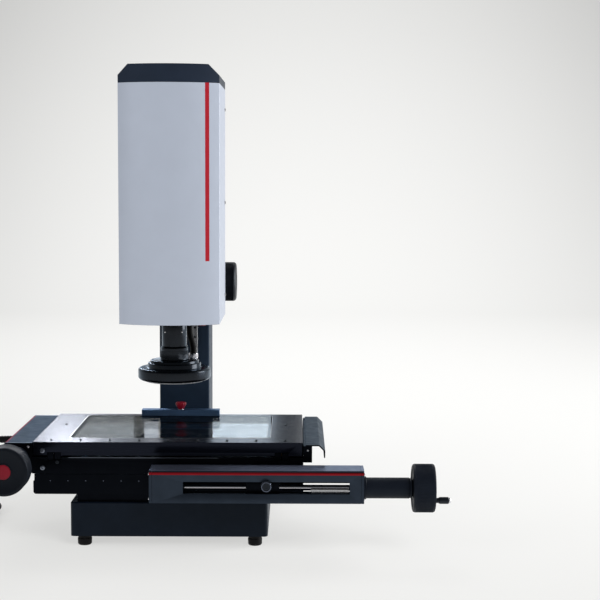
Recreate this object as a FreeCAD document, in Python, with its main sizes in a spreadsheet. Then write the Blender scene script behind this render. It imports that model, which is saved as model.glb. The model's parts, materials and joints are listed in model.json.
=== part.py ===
import FreeCAD, Part
import Sketcher
import math
import os
from types import SimpleNamespace

# Measuring microscope. Millimetres, +Z up, +X to the right, +Y away from the user.
# Sizes are counted from the optical axis and from the top of the stage plate.
# Every body is then moved so that the floor is at zero and the whole stands centred on it.

SIZES = {
    # stage plate, its glass and its rows of threaded holes
    "plate_length": 370.0,
    "plate_width": 229.0,
    "plate_front": 111.0,
    "plate_height": 18.5,
    "plate_round": 2.0,
    "glass_length": 280.0,
    "glass_width": 185.0,
    "glass_front": 79.0,
    "glass_height": 6.0,
    "glass_ledge": 5.0,
    "glass_round": 7.0,
    "seat_gap": 0.3,
    "stage_hole_pitch": 40.0,
    "stage_hole_radius": 2.1,
    "stage_hole_depth": 12.0,
    "stage_hole_margin": 8.0,
    "side_hole_back": 25.0,
    # stop bar and its screw
    "stop_length": 118.0,
    "stop_width": 16.0,
    "stop_height": 9.0,
    "stop_stem_radius": 2.5,
    "stop_knob_radius": 8.2,
    "stop_knob_foot_radius": 5.3,
    "stop_knob_lift": 2.7,
    "stop_knob_height": 8.3,
    "stop_knob_slope": 1.2,
    "stop_knob_edge": 0.8,
    "stop_stem_depth": 5.7,
    # crossed-roller guides
    "stage_gap": 2.5,
    "carriage_gap": 2.0,
    "strip_width": 9.0,
    "strip_height": 10.5,
    "strip_relief": 0.5,
    "strip_space": 1.0,
    "strip_groove": 2.3,
    "roller_radius": 1.65,
    "roller_length": 3.3,
    "roller_pitch": 32.0,
    "cage_height": 8.0,
    "cage_width": 0.4,
    "cage_ends": 24.0,
    "x_strip_offset": 84.0,
    "x_strip_length": 350.0,
    "y_strip_offset": 156.0,
    "y_strip_length": 218.0,
    "strip_end_margin": 5.5,
    # X carriage and guide base
    "carriage_length": 372.0,
    "carriage_height": 23.0,
    "carriage_window_length": 270.0,
    "carriage_window_width": 124.0,
    "guide_length": 372.0,
    "guide_front": 104.0,
    "guide_back": 118.0,
    "guide_height": 28.0,
    "guide_step": 1.5,
    "guide_step_height": 10.0,
    "guide_round": 4.0,
    "spacer_length": 256.0,
    "spacer_front": 88.0,
    "spacer_back": 112.0,
    "spacer_height": 13.5,
    # base and transmitted light
    "base_length": 274.0,
    "base_front": 95.0,
    "base_back": 275.0,
    "base_height": 48.0,
    "base_wall": 8.0,
    "base_round": 6.0,
    "base_edge": 1.5,
    "base_cover_height": 3.0,
    "well_radius": 32.0,
    "lamp_wall": 3.7,
    "lamp_ledge": 3.0,
    "lamp_depth": 126.0,
    "lamp_floor": 6.0,
    "lamp_top_gap": 1.0,
    "condenser_height": 8.0,
    "condenser_round": 5.0,
    "foot_radius": 10.0,
    "foot_height": 14.5,
    "foot_recess_radius": 5.2,
    "foot_recess_height": 9.0,
    "foot_inset_x": 18.0,
    "foot_inset_y": 14.0,
    "post_radius": 12.0,
    # drives
    "x_travel": 200.0,
    "y_travel": 100.0,
    "drive_depth": 40.0,
    "drive_wall": 4.0,
    "drive_chamfer": 3.0,
    "x_drive_left": 20.0,
    "x_drive_length": 287.0,
    "x_drive_front": 170.0,
    "x_drive_drop": 27.0,
    "x_drive_height": 44.0,
    "x_rod_drop": 53.5,
    "x_grip_place": 136.5,
    "y_drive_gap": 0.5,
    "y_drive_front": 108.0,
    "y_drive_length": 223.0,
    "y_drive_drop": 2.0,
    "y_drive_height": 42.0,
    "y_rod_drop": 23.0,
    "rod_radius": 4.0,
    "rod_gap": 0.1,
    "rod_end_gap": 1.5,
    "slot_height": 16.0,
    "slot_spare": 22.0,
    "x_slot_rise": 3.5,
    "x_knob_rise": 6.5,
    "y_knob_fall": 6.5,
    "grip_length": 34.0,
    "grip_depth": 18.0,
    "x_block_drop": 6.5,
    "x_block_rise": 10.5,
    "y_block_drop": 11.0,
    "y_block_rise": 14.0,
    "arm_height": 9.0,
    "x_arm_fall": 3.5,
    "y_arm_rise": 8.5,
    "x_arm_plate": 6.0,
    "x_arm_top_drop": 4.0,
    "arm_gap": 1.5,
    "lug_height": 9.0,
    "lug_length": 30.0,
    "lug_inset": 30.0,
    "tube_radius": 14.0,
    "tube_bore": 9.0,
    "tube_length": 65.0,
    "tube_nose": 10.0,
    "wheel_gap": 0.5,
    "wheel_radius": 32.5,
    "wheel_width": 30.0,
    "wheel_round": 3.0,
    "cap_radius": 10.0,
    "cap_depth": 1.5,
    "cap_rise": 0.8,
    "crank_radius": 24.0,
    "crank_pin_radius": 2.5,
    "crank_head_radius": 4.0,
    "crank_head_height": 1.5,
    "handle_radius": 4.65,
    "handle_length": 17.0,
    "handle_gap": 0.3,
    "release_radius": 7.25,
    "release_height": 6.0,
    "release_gap": 1.0,
    "release_edge": 1.0,
    "release_stem_radius": 3.0,
    # bent side cover and its end blocks
    "side_block_length": 12.0,
    "side_block_width": 16.0,
    "side_block_overlap": 6.5,
    "side_sheet": 1.8,
    "side_drop": 3.0,
    "side_start": 3.0,
    "side_flat": 19.0,
    "side_bend": 8.0,
    "side_flange": 10.0,
    # column
    "column_width": 78.0,
    "column_front": 180.0,
    "column_depth": 85.0,
    "column_top": 500.0,
    "column_wall": 8.0,
    "column_round": 3.0,
    "column_lid": 6.0,
    "rail_spacing": 34.0,
    "rail_width": 8.0,
    "rail_depth": 6.0,
    "rail_bottom": 60.0,
    "rail_top": 490.0,
    "gear_module": 1.5,
    "gear_backlash": 0.35,
    "rack_width": 10.0,
    "rack_gap": 0.5,
    "pinion_side_gap": 4.0,
    # head carriage
    "head_carriage_width": 80.0,
    "head_carriage_back": 16.0,
    "head_carriage_depth": 12.0,
    "head_carriage_bottom": 165.0,
    "head_carriage_height": 235.0,
    "block_width": 19.0,
    "block_height": 45.0,
    "block_lift": 15.0,
    "block_gap": 0.3,
    "block_back_gap": 0.5,
    "focus_height": 201.6,
    "focus_shaft_radius": 6.0,
    "focus_boss_height": 27.0,
    "focus_boss_depth": 16.0,
    "focus_knob_start": 61.0,
    "focus_knob_radius": 30.0,
    "focus_knob_width": 22.0,
    "focus_knob_round": 4.0,
    "clamp_place_x": 28.5,
    "clamp_radius": 8.0,
    "clamp_height": 18.0,
    "clamp_neck": 15.0,
    "clamp_stem_radius": 3.0,
    "clamp_stem_depth": 8.0,
    "clamp_spare": 4.0,
    "clamp_taper": 3.0,
    "clamp_edge": 1.0,
    # bracket, zoom body and camera
    "bracket_width": 60.0,
    "bracket_rise": 24.4,
    "bracket_height": 168.0,
    "bracket_front": 36.0,
    "bracket_flange": 12.0,
    "bracket_web": 12.0,
    "collar_rise": 70.0,
    "collar_height": 34.0,
    "collar_wall": 9.0,
    "collar_slit": 3.0,
    "zoom_radius": 29.0,
    "zoom_bottom": 205.0,
    "zoom_top": 345.0,
    "lens_radius": 17.7,
    "lens_bottom": 120.0,
    "lens_core_radius": 15.0,
    "coupler_top": 400.0,
    "camera_width": 44.0,
    "camera_height": 62.0,
    "camera_round": 1.5,
    "zoom_slope": 6.0,
    "zoom_ring_radius": 19.65,
    "zoom_ring_edge": 1.5,
    # ring light
    "ring_radius": 52.0,
    "ring_bottom": 72.0,
    "ring_top": 89.0,
    "ring_bevel": 3.0,
    "ring_shoulder": 4.0,
    "ring_inner": 33.0,
    "ring_inner_wall": 2.0,
    "ring_flange_radius": 38.0,
    "ring_flange_top": 100.0,
    "ring_nose": 86.0,
    "ring_channel": 44.0,
    "ring_channel_depth": 3.0,
    "guide_sleeve_radius": 6.8,
    "guide_sleeve_height": 16.0,
    "light_guide_radius": 4.8,
    "light_guide_x": 24.5,
    "light_guide_y": 39.5,
    "light_guide_lean": 5.5,
    "light_guide_bend": 16.0,
    "light_guide_upper_bend": 48.0,
    "light_guide_height": 72.0,
    # head cover
    "cover_half": 69.5,
    "cover_corner": 76.0,
    "cover_bow": 20.0,
    "cover_back": 75.0,
    "cover_bottom": 159.0,
    "cover_top": 490.0,
    "cover_wall": 2.0,
    "chassis_lens_gap": 1.0,
    "head_cap_height": 25.0,
    "head_cap_chamfer": 14.5,
    # cable
    "gland_y": 20.0,
    "gland_drop": 14.0,
    "gland_flange_radius": 6.4,
    "gland_flange": 3.0,
    "gland_radius": 5.5,
    "gland_tip_radius": 4.6,
    "gland_length": 36.0,
    "cable_straight": 40.0,
    "cable_radius": 3.0,
    "floor_gap": 0.5,
    "coil_x": 318.9,
    "coil_y": 95.0,
    "coil_inner": 21.0,
    "coil_outer": 46.0,
    "coil_height": 12.6,
    "plug_width": 16.0,
    "plug_height": 9.0,
    "plug_length": 35.0,
    "plug_relief_start": 15.0,
    "plug_relief_length": 30.0,
    "plug_relief_radius": 4.0,
    "plug_place": 42.6,
    "plug_shell_width": 12.0,
    "plug_shell_height": 4.5,
    "plug_shell_length": 12.0,
}

STAGE_HOLES = 9
X_ROLLER_COUNT = 7
Y_ROLLER_COUNT = 5
PINION_TEETH = 20
PRESSURE_ANGLE = 20.0
CRANK_DROP_SINE = 0.5

# Hand-chosen points of the cable, from the tip of its gland down to the coil.
CABLE_ROUTE = (
    (-336.0, -10.0, -44.0),
    (-350.0, 8.0, -86.0),
    (-346.0, 34.0, -124.0),
    (-361.5, 60.0, -146.5),
    (-361.5, 95.0, -146.5),
)


class Size:
    """A length that carries its value and the sheet expression behind it."""

    def __init__(self, value, text):
        self.value = value
        self.text = text

    def __add__(self, other):
        return join(self, "+", other)

    def __radd__(self, other):
        return join(other, "+", self)

    def __sub__(self, other):
        return join(self, "-", other)

    def __rsub__(self, other):
        return join(other, "-", self)

    def __mul__(self, other):
        return join(self, "*", other)

    def __rmul__(self, other):
        return join(other, "*", self)

    def __truediv__(self, other):
        return join(self, "/", other)

    def __neg__(self):
        return join(0, "-", self)


def value_of(size):
    return size.value if isinstance(size, Size) else float(size)


def text_of(size):
    return size.text if isinstance(size, Size) else repr(round(float(size), 9))


def join(left, sign, right):
    """The sum, difference, product or quotient of two sizes, as a size."""
    first, second = value_of(left), value_of(right)
    values = {"+": first + second, "-": first - second, "*": first * second}
    value = first / second if sign == "/" else values[sign]
    return Size(value, "(%s %s %s)" % (text_of(left), sign, text_of(right)))


def size_sheet(document):
    """Put the driving sizes in a sheet and give each one back under its name."""
    sheet = document.addObject("Spreadsheet::Sheet", "Sizes")
    sizes = SimpleNamespace()
    for row, (alias, value) in enumerate(SIZES.items(), start=1):
        sheet.set("A%d" % row, alias)
        sheet.set("B%d" % row, str(value))
        sheet.setAlias("B%d" % row, alias)
        setattr(sizes, alias, Size(value, "Sizes." + alias))
    document.recompute()
    return sizes


DOC = FreeCAD.newDocument("MeasuringMicroscope")
S = size_sheet(DOC)

# Levels below the stage top, one under the other
PLATE_BOTTOM = -S.plate_height
CARRIAGE_TOP = PLATE_BOTTOM - S.stage_gap
CARRIAGE_BOTTOM = CARRIAGE_TOP - S.carriage_height
GUIDE_TOP = CARRIAGE_BOTTOM - S.carriage_gap
GUIDE_BOTTOM = GUIDE_TOP - S.guide_height
BASE_TOP = GUIDE_BOTTOM - S.spacer_height
BASE_BOTTOM = BASE_TOP - S.base_height
FLOOR = BASE_BOTTOM - S.foot_height

# Each drive as seen along its own axis: cross is Y for the X drive and X for the Y drive.
X_DRIVE = SimpleNamespace(
    name="x", axis="X", start=-S.x_drive_left, length=S.x_drive_length, outer=-S.x_drive_front,
    bottom=-S.x_drive_drop - S.x_drive_height, top=-S.x_drive_drop,
    rod=(-S.x_drive_front + S.drive_depth / 2, -S.x_rod_drop), place=S.x_grip_place,
    travel=S.x_travel, slot_rise=S.x_slot_rise, knob_rise=S.x_knob_rise, tube_side=1,
    block=(-S.x_block_drop, S.x_block_rise), arm_rise=-S.x_arm_fall)
Y_OUTER = -S.carriage_length / 2 - S.y_drive_gap - S.drive_depth
Y_DRIVE = SimpleNamespace(
    name="y", axis="Y", start=-S.y_drive_front, length=S.y_drive_length, outer=Y_OUTER,
    bottom=-S.y_drive_drop - S.y_drive_height, top=-S.y_drive_drop,
    rod=(Y_OUTER + S.drive_depth / 2, -S.y_rod_drop), place=Size(0.0, "0"),
    travel=S.y_travel, slot_rise=-S.y_knob_fall, knob_rise=-S.y_knob_fall, tube_side=-1,
    block=(-S.y_block_drop, S.y_block_rise), arm_rise=S.y_arm_rise)
for drive in (X_DRIVE, Y_DRIVE):
    drive.inner = drive.outer + S.drive_depth
    drive.end = drive.start + drive.length
    drive.tube_root = drive.end if drive.tube_side > 0 else drive.start

# Overall reach to the right, left and front gives the middle of the footprint.
DRIVE_REACH = (S.tube_length + S.wheel_gap + S.wheel_width + S.handle_gap + S.handle_length
               + S.handle_gap + S.crank_head_height)
RIGHT_REACH = X_DRIVE.end + DRIVE_REACH
LEFT_REACH = S.wheel_radius - Y_DRIVE.rod[0]
FRONT_REACH = S.y_drive_front + DRIVE_REACH
SHIFT = {
    "x": (LEFT_REACH - RIGHT_REACH) / 2,
    "y": (FRONT_REACH - S.base_back) / 2,
    "z": -FLOOR,
}

NODES = []
PLANES = {"X": "YZ_Plane", "Y": "XZ_Plane", "Z": "XY_Plane"}


def bind(target, path, size):
    """Tie a property to the sheet."""
    target.setExpression(path, text_of(size))


def new_body(name):
    """One sub-part, its own origin moved from the optical axis to the footprint."""
    body = DOC.addObject("PartDesign::Body", name)
    body.Label = name
    body.AllowCompound = True
    for direction, shift in SHIFT.items():
        bind(body, "Placement.Base." + direction, shift)
    NODES.append(body)
    return body


def new_sketch(body, axis, place):
    """A sketch across an axis of the body at the given place along it."""
    sketch = body.newObject("Sketcher::SketchObject", body.Name + "_outline")
    planes = [part for part in body.Origin.OriginFeatures if part.Role == PLANES[axis]]
    sketch.AttachmentSupport = (planes[0], [""])
    sketch.MapMode = "FlatFace"
    bind(sketch, "AttachmentOffset.Base.z", -place if axis == "Y" else place)
    return sketch


def fix_point(sketch, geometry, point, u, v):
    """Hold one point of the sketch at a place given by two sizes."""
    for kind, size in (("DistanceX", u), ("DistanceY", v)):
        index = sketch.addConstraint(
            Sketcher.Constraint(kind, -1, 1, geometry, point, value_of(size)))
        if isinstance(size, Size):
            bind(sketch, "Constraints[%d]" % index, size)


def vector(u, v, w=0):
    return FreeCAD.Vector(value_of(u), value_of(v), value_of(w))


def outline(sketch, *points):
    """A closed run of straight sides through the given points."""
    first = sketch.GeometryCount
    count = len(points)
    for index, point in enumerate(points):
        end = points[(index + 1) % count]
        sketch.addGeometry(Part.LineSegment(vector(*point), vector(*end)), False)
    for index, point in enumerate(points):
        before = first + (index - 1) % count
        sketch.addConstraint(Sketcher.Constraint("Coincident", before, 2, first + index, 1))
        fix_point(sketch, first + index, 1, *point)


def rectangle(sketch, u_low, u_high, v_low, v_high):
    """Four sides held by two opposite corners."""
    first = sketch.GeometryCount
    corners = [(u_low, v_low), (u_high, v_low), (u_high, v_high), (u_low, v_high)]
    for index, corner in enumerate(corners):
        end = corners[(index + 1) % 4]
        sketch.addGeometry(Part.LineSegment(vector(*corner), vector(*end)), False)
    for index in range(4):
        after = first + (index + 1) % 4
        sketch.addConstraint(Sketcher.Constraint("Coincident", first + index, 2, after, 1))
        level = "Horizontal" if index % 2 == 0 else "Vertical"
        sketch.addConstraint(Sketcher.Constraint(level, first + index))
    fix_point(sketch, first, 1, u_low, v_low)
    fix_point(sketch, first + 2, 1, u_high, v_high)


def circle(sketch, u, v, radius):
    """A circle held by its centre and radius."""
    index = sketch.addGeometry(
        Part.Circle(vector(u, v), FreeCAD.Vector(0, 0, 1), value_of(radius)), False)
    fix_point(sketch, index, 3, u, v)
    number = sketch.addConstraint(Sketcher.Constraint("Radius", index, value_of(radius)))
    if isinstance(radius, Size):
        bind(sketch, "Constraints[%d]" % number, radius)


def draw(sketch, shapes):
    for shape, *places in shapes:
        shape(sketch, *places)


def add(body, axis, low, high, *shapes):
    """Pad shapes along an axis from one place to another."""
    sketch = new_sketch(body, axis, high if axis == "Y" else low)
    draw(sketch, shapes)
    pad = body.newObject("PartDesign::Pad", body.Name + "_pad")
    pad.Profile = sketch
    bind(pad, "Length", high - low)
    return pad


def cut(body, axis, low, high, *shapes):
    """Pocket shapes along an axis from one place to another."""
    sketch = new_sketch(body, axis, low if axis == "Y" else high)
    draw(sketch, shapes)
    pocket = body.newObject("PartDesign::Pocket", body.Name + "_pocket")
    pocket.Profile = sketch
    bind(pocket, "Length", high - low)
    return pocket


def turn(body, axis, centre, profile, groove=False):
    """Revolve a profile of (place along the axis, radius) points about the axis."""
    cross, level = centre
    if axis == "Z":
        sketch = new_sketch(body, "Y", level)
        ends = ((cross, 0), (cross, 1))
        points = [(cross + radius, along) for along, radius in profile]
    elif axis == "X":
        sketch = new_sketch(body, "Y", cross)
        ends = ((0, level), (1, level))
        points = [(along, level + radius) for along, radius in profile]
    else:
        sketch = new_sketch(body, "X", cross)
        ends = ((0, level), (1, level))
        points = [(along, level + radius) for along, radius in profile]
    line = sketch.addGeometry(Part.LineSegment(vector(*ends[0]), vector(*ends[1])), True)
    fix_point(sketch, line, 1, *ends[0])
    fix_point(sketch, line, 2, *ends[1])
    outline(sketch, *points)
    kind = "Groove" if groove else "Revolution"
    feature = body.newObject("PartDesign::" + kind, body.Name + "_turned")
    feature.Profile = sketch
    feature.ReferenceAxis = (sketch, ["Axis0"])
    feature.Angle = 360.0
    return feature


def straight_edges(shape, axis, places):
    """Names of the edges parallel to an axis that stand at one of the places."""
    names = []
    wanted = [tuple(value_of(size) for size in place) for place in places]
    for number, edge in enumerate(shape.Edges, start=1):
        box = edge.BoundBox
        spans = {"X": box.XLength, "Y": box.YLength, "Z": box.ZLength}
        along = spans.pop(axis)
        middle = {"X": box.Center.x, "Y": box.Center.y, "Z": box.Center.z}
        middle.pop(axis)
        if along > 0.1 and max(spans.values()) < 0.01:
            here = tuple(middle.values())
            if any(math.dist(here, place) < 0.05 for place in wanted):
                names.append("Edge%d" % number)
    return names


def level_edges(shape, axis, place, accept=None):
    """Names of the edges that lie in one level across an axis."""
    names = []
    for number, edge in enumerate(shape.Edges, start=1):
        box = edge.BoundBox
        low = {"X": box.XMin, "Y": box.YMin, "Z": box.ZMin}[axis]
        high = {"X": box.XMax, "Y": box.YMax, "Z": box.ZMax}[axis]
        level = value_of(place)
        if abs(low - level) < 0.02 and abs(high - level) < 0.02:
            if accept is None or accept(edge):
                names.append("Edge%d" % number)
    return names


def dress(body, kind, size, pick):
    """Fillet or chamfer the picked edges of the body as it stands."""
    DOC.recompute()
    base = body.Tip
    names = pick(base.Shape)
    feature = body.newObject("PartDesign::" + kind, body.Name + "_" + kind.lower())
    feature.Base = (base, names)
    bind(feature, "Radius" if kind == "Fillet" else "Size", size)
    return feature


def hollow(body, wall):
    """Leave a wall of the body as it stands, open below."""
    DOC.recompute()
    base = body.Tip
    lowest = base.Shape.BoundBox.ZMin
    names = ["Face%d" % number for number, face in enumerate(base.Shape.Faces, start=1)
             if abs(face.BoundBox.ZMax - lowest) < 0.01]
    feature = body.newObject("PartDesign::Thickness", body.Name + "_wall")
    feature.Base = (base, names)
    feature.Reversed = True
    bind(feature, "Value", wall)


def round_corners(body, axis, radius, *places):
    dress(body, "Fillet", radius, lambda shape: straight_edges(shape, axis, places))


def round_rims(body, radius, *rim_radii):
    """Fillet the full circles that have one of the given radii."""
    wanted = [value_of(rim) for rim in rim_radii]

    def pick(shape):
        names = []
        for number, edge in enumerate(shape.Edges, start=1):
            curve = edge.Curve
            if isinstance(curve, Part.Circle) and edge.isClosed():
                if any(abs(curve.Radius - rim) < 0.01 for rim in wanted):
                    names.append("Edge%d" % number)
        return names

    dress(body, "Fillet", radius, pick)


def corners_of(u_low, u_high, v_low, v_high):
    return [(u_low, v_low), (u_high, v_low), (u_high, v_high), (u_low, v_high)]


# Base

def foot_places():
    x = S.base_length / 2 - S.foot_inset_x
    front = -S.base_front + S.foot_inset_y
    back = S.base_back - S.foot_inset_y
    return [(side * x, y) for side in (-1, 1) for y in (front, back)]


def base_housing():
    """Cast box, open below, with a post over each foot and the light well in its top."""
    body = new_body("base_housing")
    half = S.base_length / 2
    add(body, "Z", BASE_BOTTOM, BASE_TOP, (rectangle, -half, half, -S.base_front, S.base_back))
    round_corners(body, "Z", S.base_round, *corners_of(-half, half, -S.base_front, S.base_back))
    wall = S.base_wall
    cut(body, "Z", BASE_BOTTOM, BASE_TOP - wall,
        (rectangle, -half + wall, half - wall, wall - S.base_front, S.base_back - wall))
    cover_top = BASE_BOTTOM + S.base_cover_height
    posts = [(circle, x, y, S.post_radius) for x, y in foot_places()]
    add(body, "Z", cover_top, BASE_TOP - wall, *posts)
    cut(body, "Z", BASE_TOP - wall, BASE_TOP, (circle, 0, 0, S.well_radius))
    dress(body, "Chamfer", S.base_edge, lambda shape: level_edges(
        shape, "Z", BASE_TOP, lambda edge: not edge.isClosed()))


def base_cover():
    """Plate that closes the base from below between the walls."""
    body = new_body("base_cover")
    half = S.base_length / 2 - S.base_wall - S.seat_gap
    edge = S.base_wall + S.seat_gap
    add(body, "Z", BASE_BOTTOM, BASE_BOTTOM + S.base_cover_height,
        (rectangle, -half, half, edge - S.base_front, S.base_back - edge))


def rubber_feet():
    """Four rubber feet, each with the recess of its fixing screw."""
    body = new_body("rubber_feet")
    places = foot_places()
    add(body, "Z", FLOOR, BASE_BOTTOM, *[(circle, x, y, S.foot_radius) for x, y in places])
    cut(body, "Z", FLOOR, FLOOR + S.foot_recess_height,
        *[(circle, x, y, S.foot_recess_radius) for x, y in places])


def spacer_plate():
    """Plate between the base and the guide base, open over the light well."""
    body = new_body("spacer_plate")
    half = S.spacer_length / 2
    add(body, "Z", BASE_TOP, GUIDE_BOTTOM, (rectangle, -half, half, -S.spacer_front, S.spacer_back))
    cut(body, "Z", BASE_TOP, GUIDE_BOTTOM, (circle, 0, 0, S.well_radius))


def strip_band(offset, side):
    """Low and high edge of the channel that holds one pair of guide strips."""
    half = S.strip_width + S.strip_space / 2
    return side * offset - half, side * offset + half


def guide_base():
    """Fixed bottom plate of the cross slide with two channels for the X strips."""
    body = new_body("guide_base")
    half = S.guide_length / 2
    shelf = GUIDE_TOP - S.guide_step_height
    add(body, "Z", GUIDE_BOTTOM, GUIDE_TOP, (rectangle, -half, half, -S.guide_front, S.guide_back))
    cut(body, "Z", GUIDE_BOTTOM, GUIDE_TOP, (circle, 0, 0, S.well_radius))
    for side in (-1, 1):
        low, high = strip_band(S.x_strip_offset, side)
        cut(body, "Z", X_LEVEL.fixed_low, GUIDE_TOP, (rectangle, -half, half, low, high))
    for side in (-1, 1):
        low, high = (half - S.guide_step, half) if side > 0 else (-half, S.guide_step - half)
        cut(body, "Z", shelf, GUIDE_TOP, (rectangle, low, high, -S.guide_front, S.guide_back))
    round_corners(body, "Y", S.guide_round, (-half, GUIDE_BOTTOM), (half, GUIDE_BOTTOM))


def strip_level(middle):
    """Heights of a pair of strips, the fixed one a little lower than the moving one."""
    half = S.strip_height / 2
    relief = S.strip_relief / 2
    return SimpleNamespace(
        middle=middle, fixed_low=middle - half - relief, fixed_high=middle + half - relief,
        moving_low=middle - half + relief, moving_high=middle + half + relief)


def strip_outline(seat, edge, low, high, middle):
    """Rectangle from its seat to the gap edge, with a right-angled groove at the gap."""
    return [(seat, low), (edge, low), (edge, middle - S.strip_groove),
            (edge + groove_step(seat, edge), middle), (edge, middle + S.strip_groove),
            (edge, high), (seat, high)]


def groove_step(seat, edge):
    return S.strip_groove if value_of(seat) > value_of(edge) else -S.strip_groove


def guide_strips(name, axis, offset, length, start, level, fixed):
    """Both strips of one slide plate: fixed ones lie outside, moving ones inside."""
    body = new_body(name)
    shapes = []
    for side in (-1, 1):
        centre = side * offset
        outward = side if fixed else -side
        edge = centre + outward * S.strip_space / 2
        seat = edge + outward * S.strip_width
        low = level.fixed_low if fixed else level.moving_low
        high = level.fixed_high if fixed else level.moving_high
        shapes.append((outline, *strip_outline(seat, edge, low, high, level.middle)))
    add(body, axis, start, start + length, *shapes)


def roller_cages(name, axis, offset, middle_along, count, level):
    """Thin cage strips with rollers that lie crosswise, turned by a right angle in turn."""
    body = new_body(name)
    half = (count - 1) * S.roller_pitch / 2 + S.cage_ends
    shapes = []
    for side in (-1, 1):
        centre = side * offset
        shapes.append((rectangle, centre - S.cage_width / 2, centre + S.cage_width / 2,
                       level.middle - S.cage_height / 2, level.middle + S.cage_height / 2))
    add(body, axis, middle_along - half, middle_along + half, *shapes)
    first = middle_along - (count - 1) * S.roller_pitch / 2
    for side in (-1, 1):
        for lean in (-1, 1):
            skip = (1 + lean) / 2
            roller = cross_roller(body, axis, first + skip * S.roller_pitch,
                                  side * offset, level.middle, lean)
            repeat_along(body, roller, axis, 2 * S.roller_pitch, (count + 1 - int(skip)) // 2)


def cross_roller(body, axis, along, cross, level, lean):
    """A roller whose axis lies across the slide at half a right angle, up or down."""
    roller = body.newObject("PartDesign::AdditiveCylinder", body.Name + "_roller")
    planes = [part for part in body.Origin.OriginFeatures if part.Role == PLANES[axis]]
    roller.AttachmentSupport = (planes[0], [""])
    roller.MapMode = "FlatFace"
    turned = FreeCAD.Rotation(FreeCAD.Vector(0, 0, 1), FreeCAD.Vector(1, lean, 0))
    roller.AttachmentOffset = FreeCAD.Placement(FreeCAD.Vector(), turned)
    half = S.roller_length / 2 * math.sqrt(0.5)
    bind(roller, "AttachmentOffset.Base.x", cross - half)
    bind(roller, "AttachmentOffset.Base.y", level - lean * half)
    bind(roller, "AttachmentOffset.Base.z", -along if axis == "Y" else along)
    bind(roller, "Radius", S.roller_radius)
    bind(roller, "Height", S.roller_length)
    return roller


def repeat_along(body, feature, axis, step, count):
    """Copies of a feature in a row along an axis of the body."""
    pattern = body.newObject("PartDesign::LinearPattern", feature.Name + "_row")
    pattern.Originals = [feature]
    lines = [part for part in body.Origin.OriginFeatures if part.Role == axis + "_Axis"]
    pattern.Direction = (lines[0], [""])
    pattern.Mode = "Spacing"
    bind(pattern, "Offset", step)
    pattern.Occurrences = count
    body.Tip = pattern


# The X strips hang under the carriage, so that the Y drive can pass over the fixed ones.
X_LEVEL = strip_level(CARRIAGE_BOTTOM - (S.strip_height + S.strip_relief) / 2)
Y_LEVEL = strip_level(CARRIAGE_TOP + S.stage_gap / 2)


def guides():
    """The crossed-roller guides of both slides."""
    x_start = -S.x_strip_length / 2
    y_start = -S.plate_front + S.strip_end_margin
    y_middle = y_start + S.y_strip_length / 2
    zero = Size(0.0, "0")
    guide_strips("x_fixed_strips", "X", S.x_strip_offset, S.x_strip_length, x_start, X_LEVEL, True)
    guide_strips("x_moving_strips", "X", S.x_strip_offset, S.x_strip_length, x_start, X_LEVEL, False)
    guide_strips("y_fixed_strips", "Y", S.y_strip_offset, S.y_strip_length, y_start, Y_LEVEL, True)
    guide_strips("y_moving_strips", "Y", S.y_strip_offset, S.y_strip_length, y_start, Y_LEVEL, False)
    roller_cages("x_roller_cages", "X", S.x_strip_offset, zero, X_ROLLER_COUNT, X_LEVEL)
    roller_cages("y_roller_cages", "Y", S.y_strip_offset, y_middle, Y_ROLLER_COUNT, Y_LEVEL)


def transmitted_light():
    """Lamp tube in the light well and the condenser lens on its ledge."""
    tube = new_body("lamp_tube")
    outer = S.well_radius - S.seat_gap
    inner = outer - S.lamp_wall
    top = GUIDE_TOP - S.lamp_top_gap
    ledge = top - S.condenser_height - S.lamp_top_gap
    floor = -S.lamp_depth + S.lamp_floor
    turn(tube, "Z", (0, 0), [
        (-S.lamp_depth, 0), (-S.lamp_depth, outer), (top, outer), (top, inner), (ledge, inner),
        (ledge, inner - S.lamp_ledge), (floor, inner - S.lamp_ledge), (floor, 0)])
    lens = new_body("condenser_lens")
    radius = inner - S.seat_gap
    add(lens, "Z", ledge, ledge + S.condenser_height, (circle, 0, 0, radius))
    dress(lens, "Fillet", S.condenser_round,
          lambda shape: level_edges(shape, "Z", ledge + S.condenser_height))


# Cross slide

def x_carriage():
    """Plate between the two slides, with a window that clears the light over the travel."""
    body = new_body("x_carriage")
    half = S.carriage_length / 2
    back = S.plate_width - S.plate_front
    add(body, "Z", CARRIAGE_BOTTOM, CARRIAGE_TOP, (rectangle, -half, half, -S.plate_front, back))
    long, wide = S.carriage_window_length / 2, S.carriage_window_width / 2
    cut(body, "Z", CARRIAGE_BOTTOM, CARRIAGE_TOP, (rectangle, -long, long, -wide, wide))
    for side in (-1, 1):
        low, high = strip_band(S.y_strip_offset, side)
        cut(body, "Z", Y_LEVEL.fixed_low, CARRIAGE_TOP, (rectangle, low, high, -S.plate_front, back))


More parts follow.
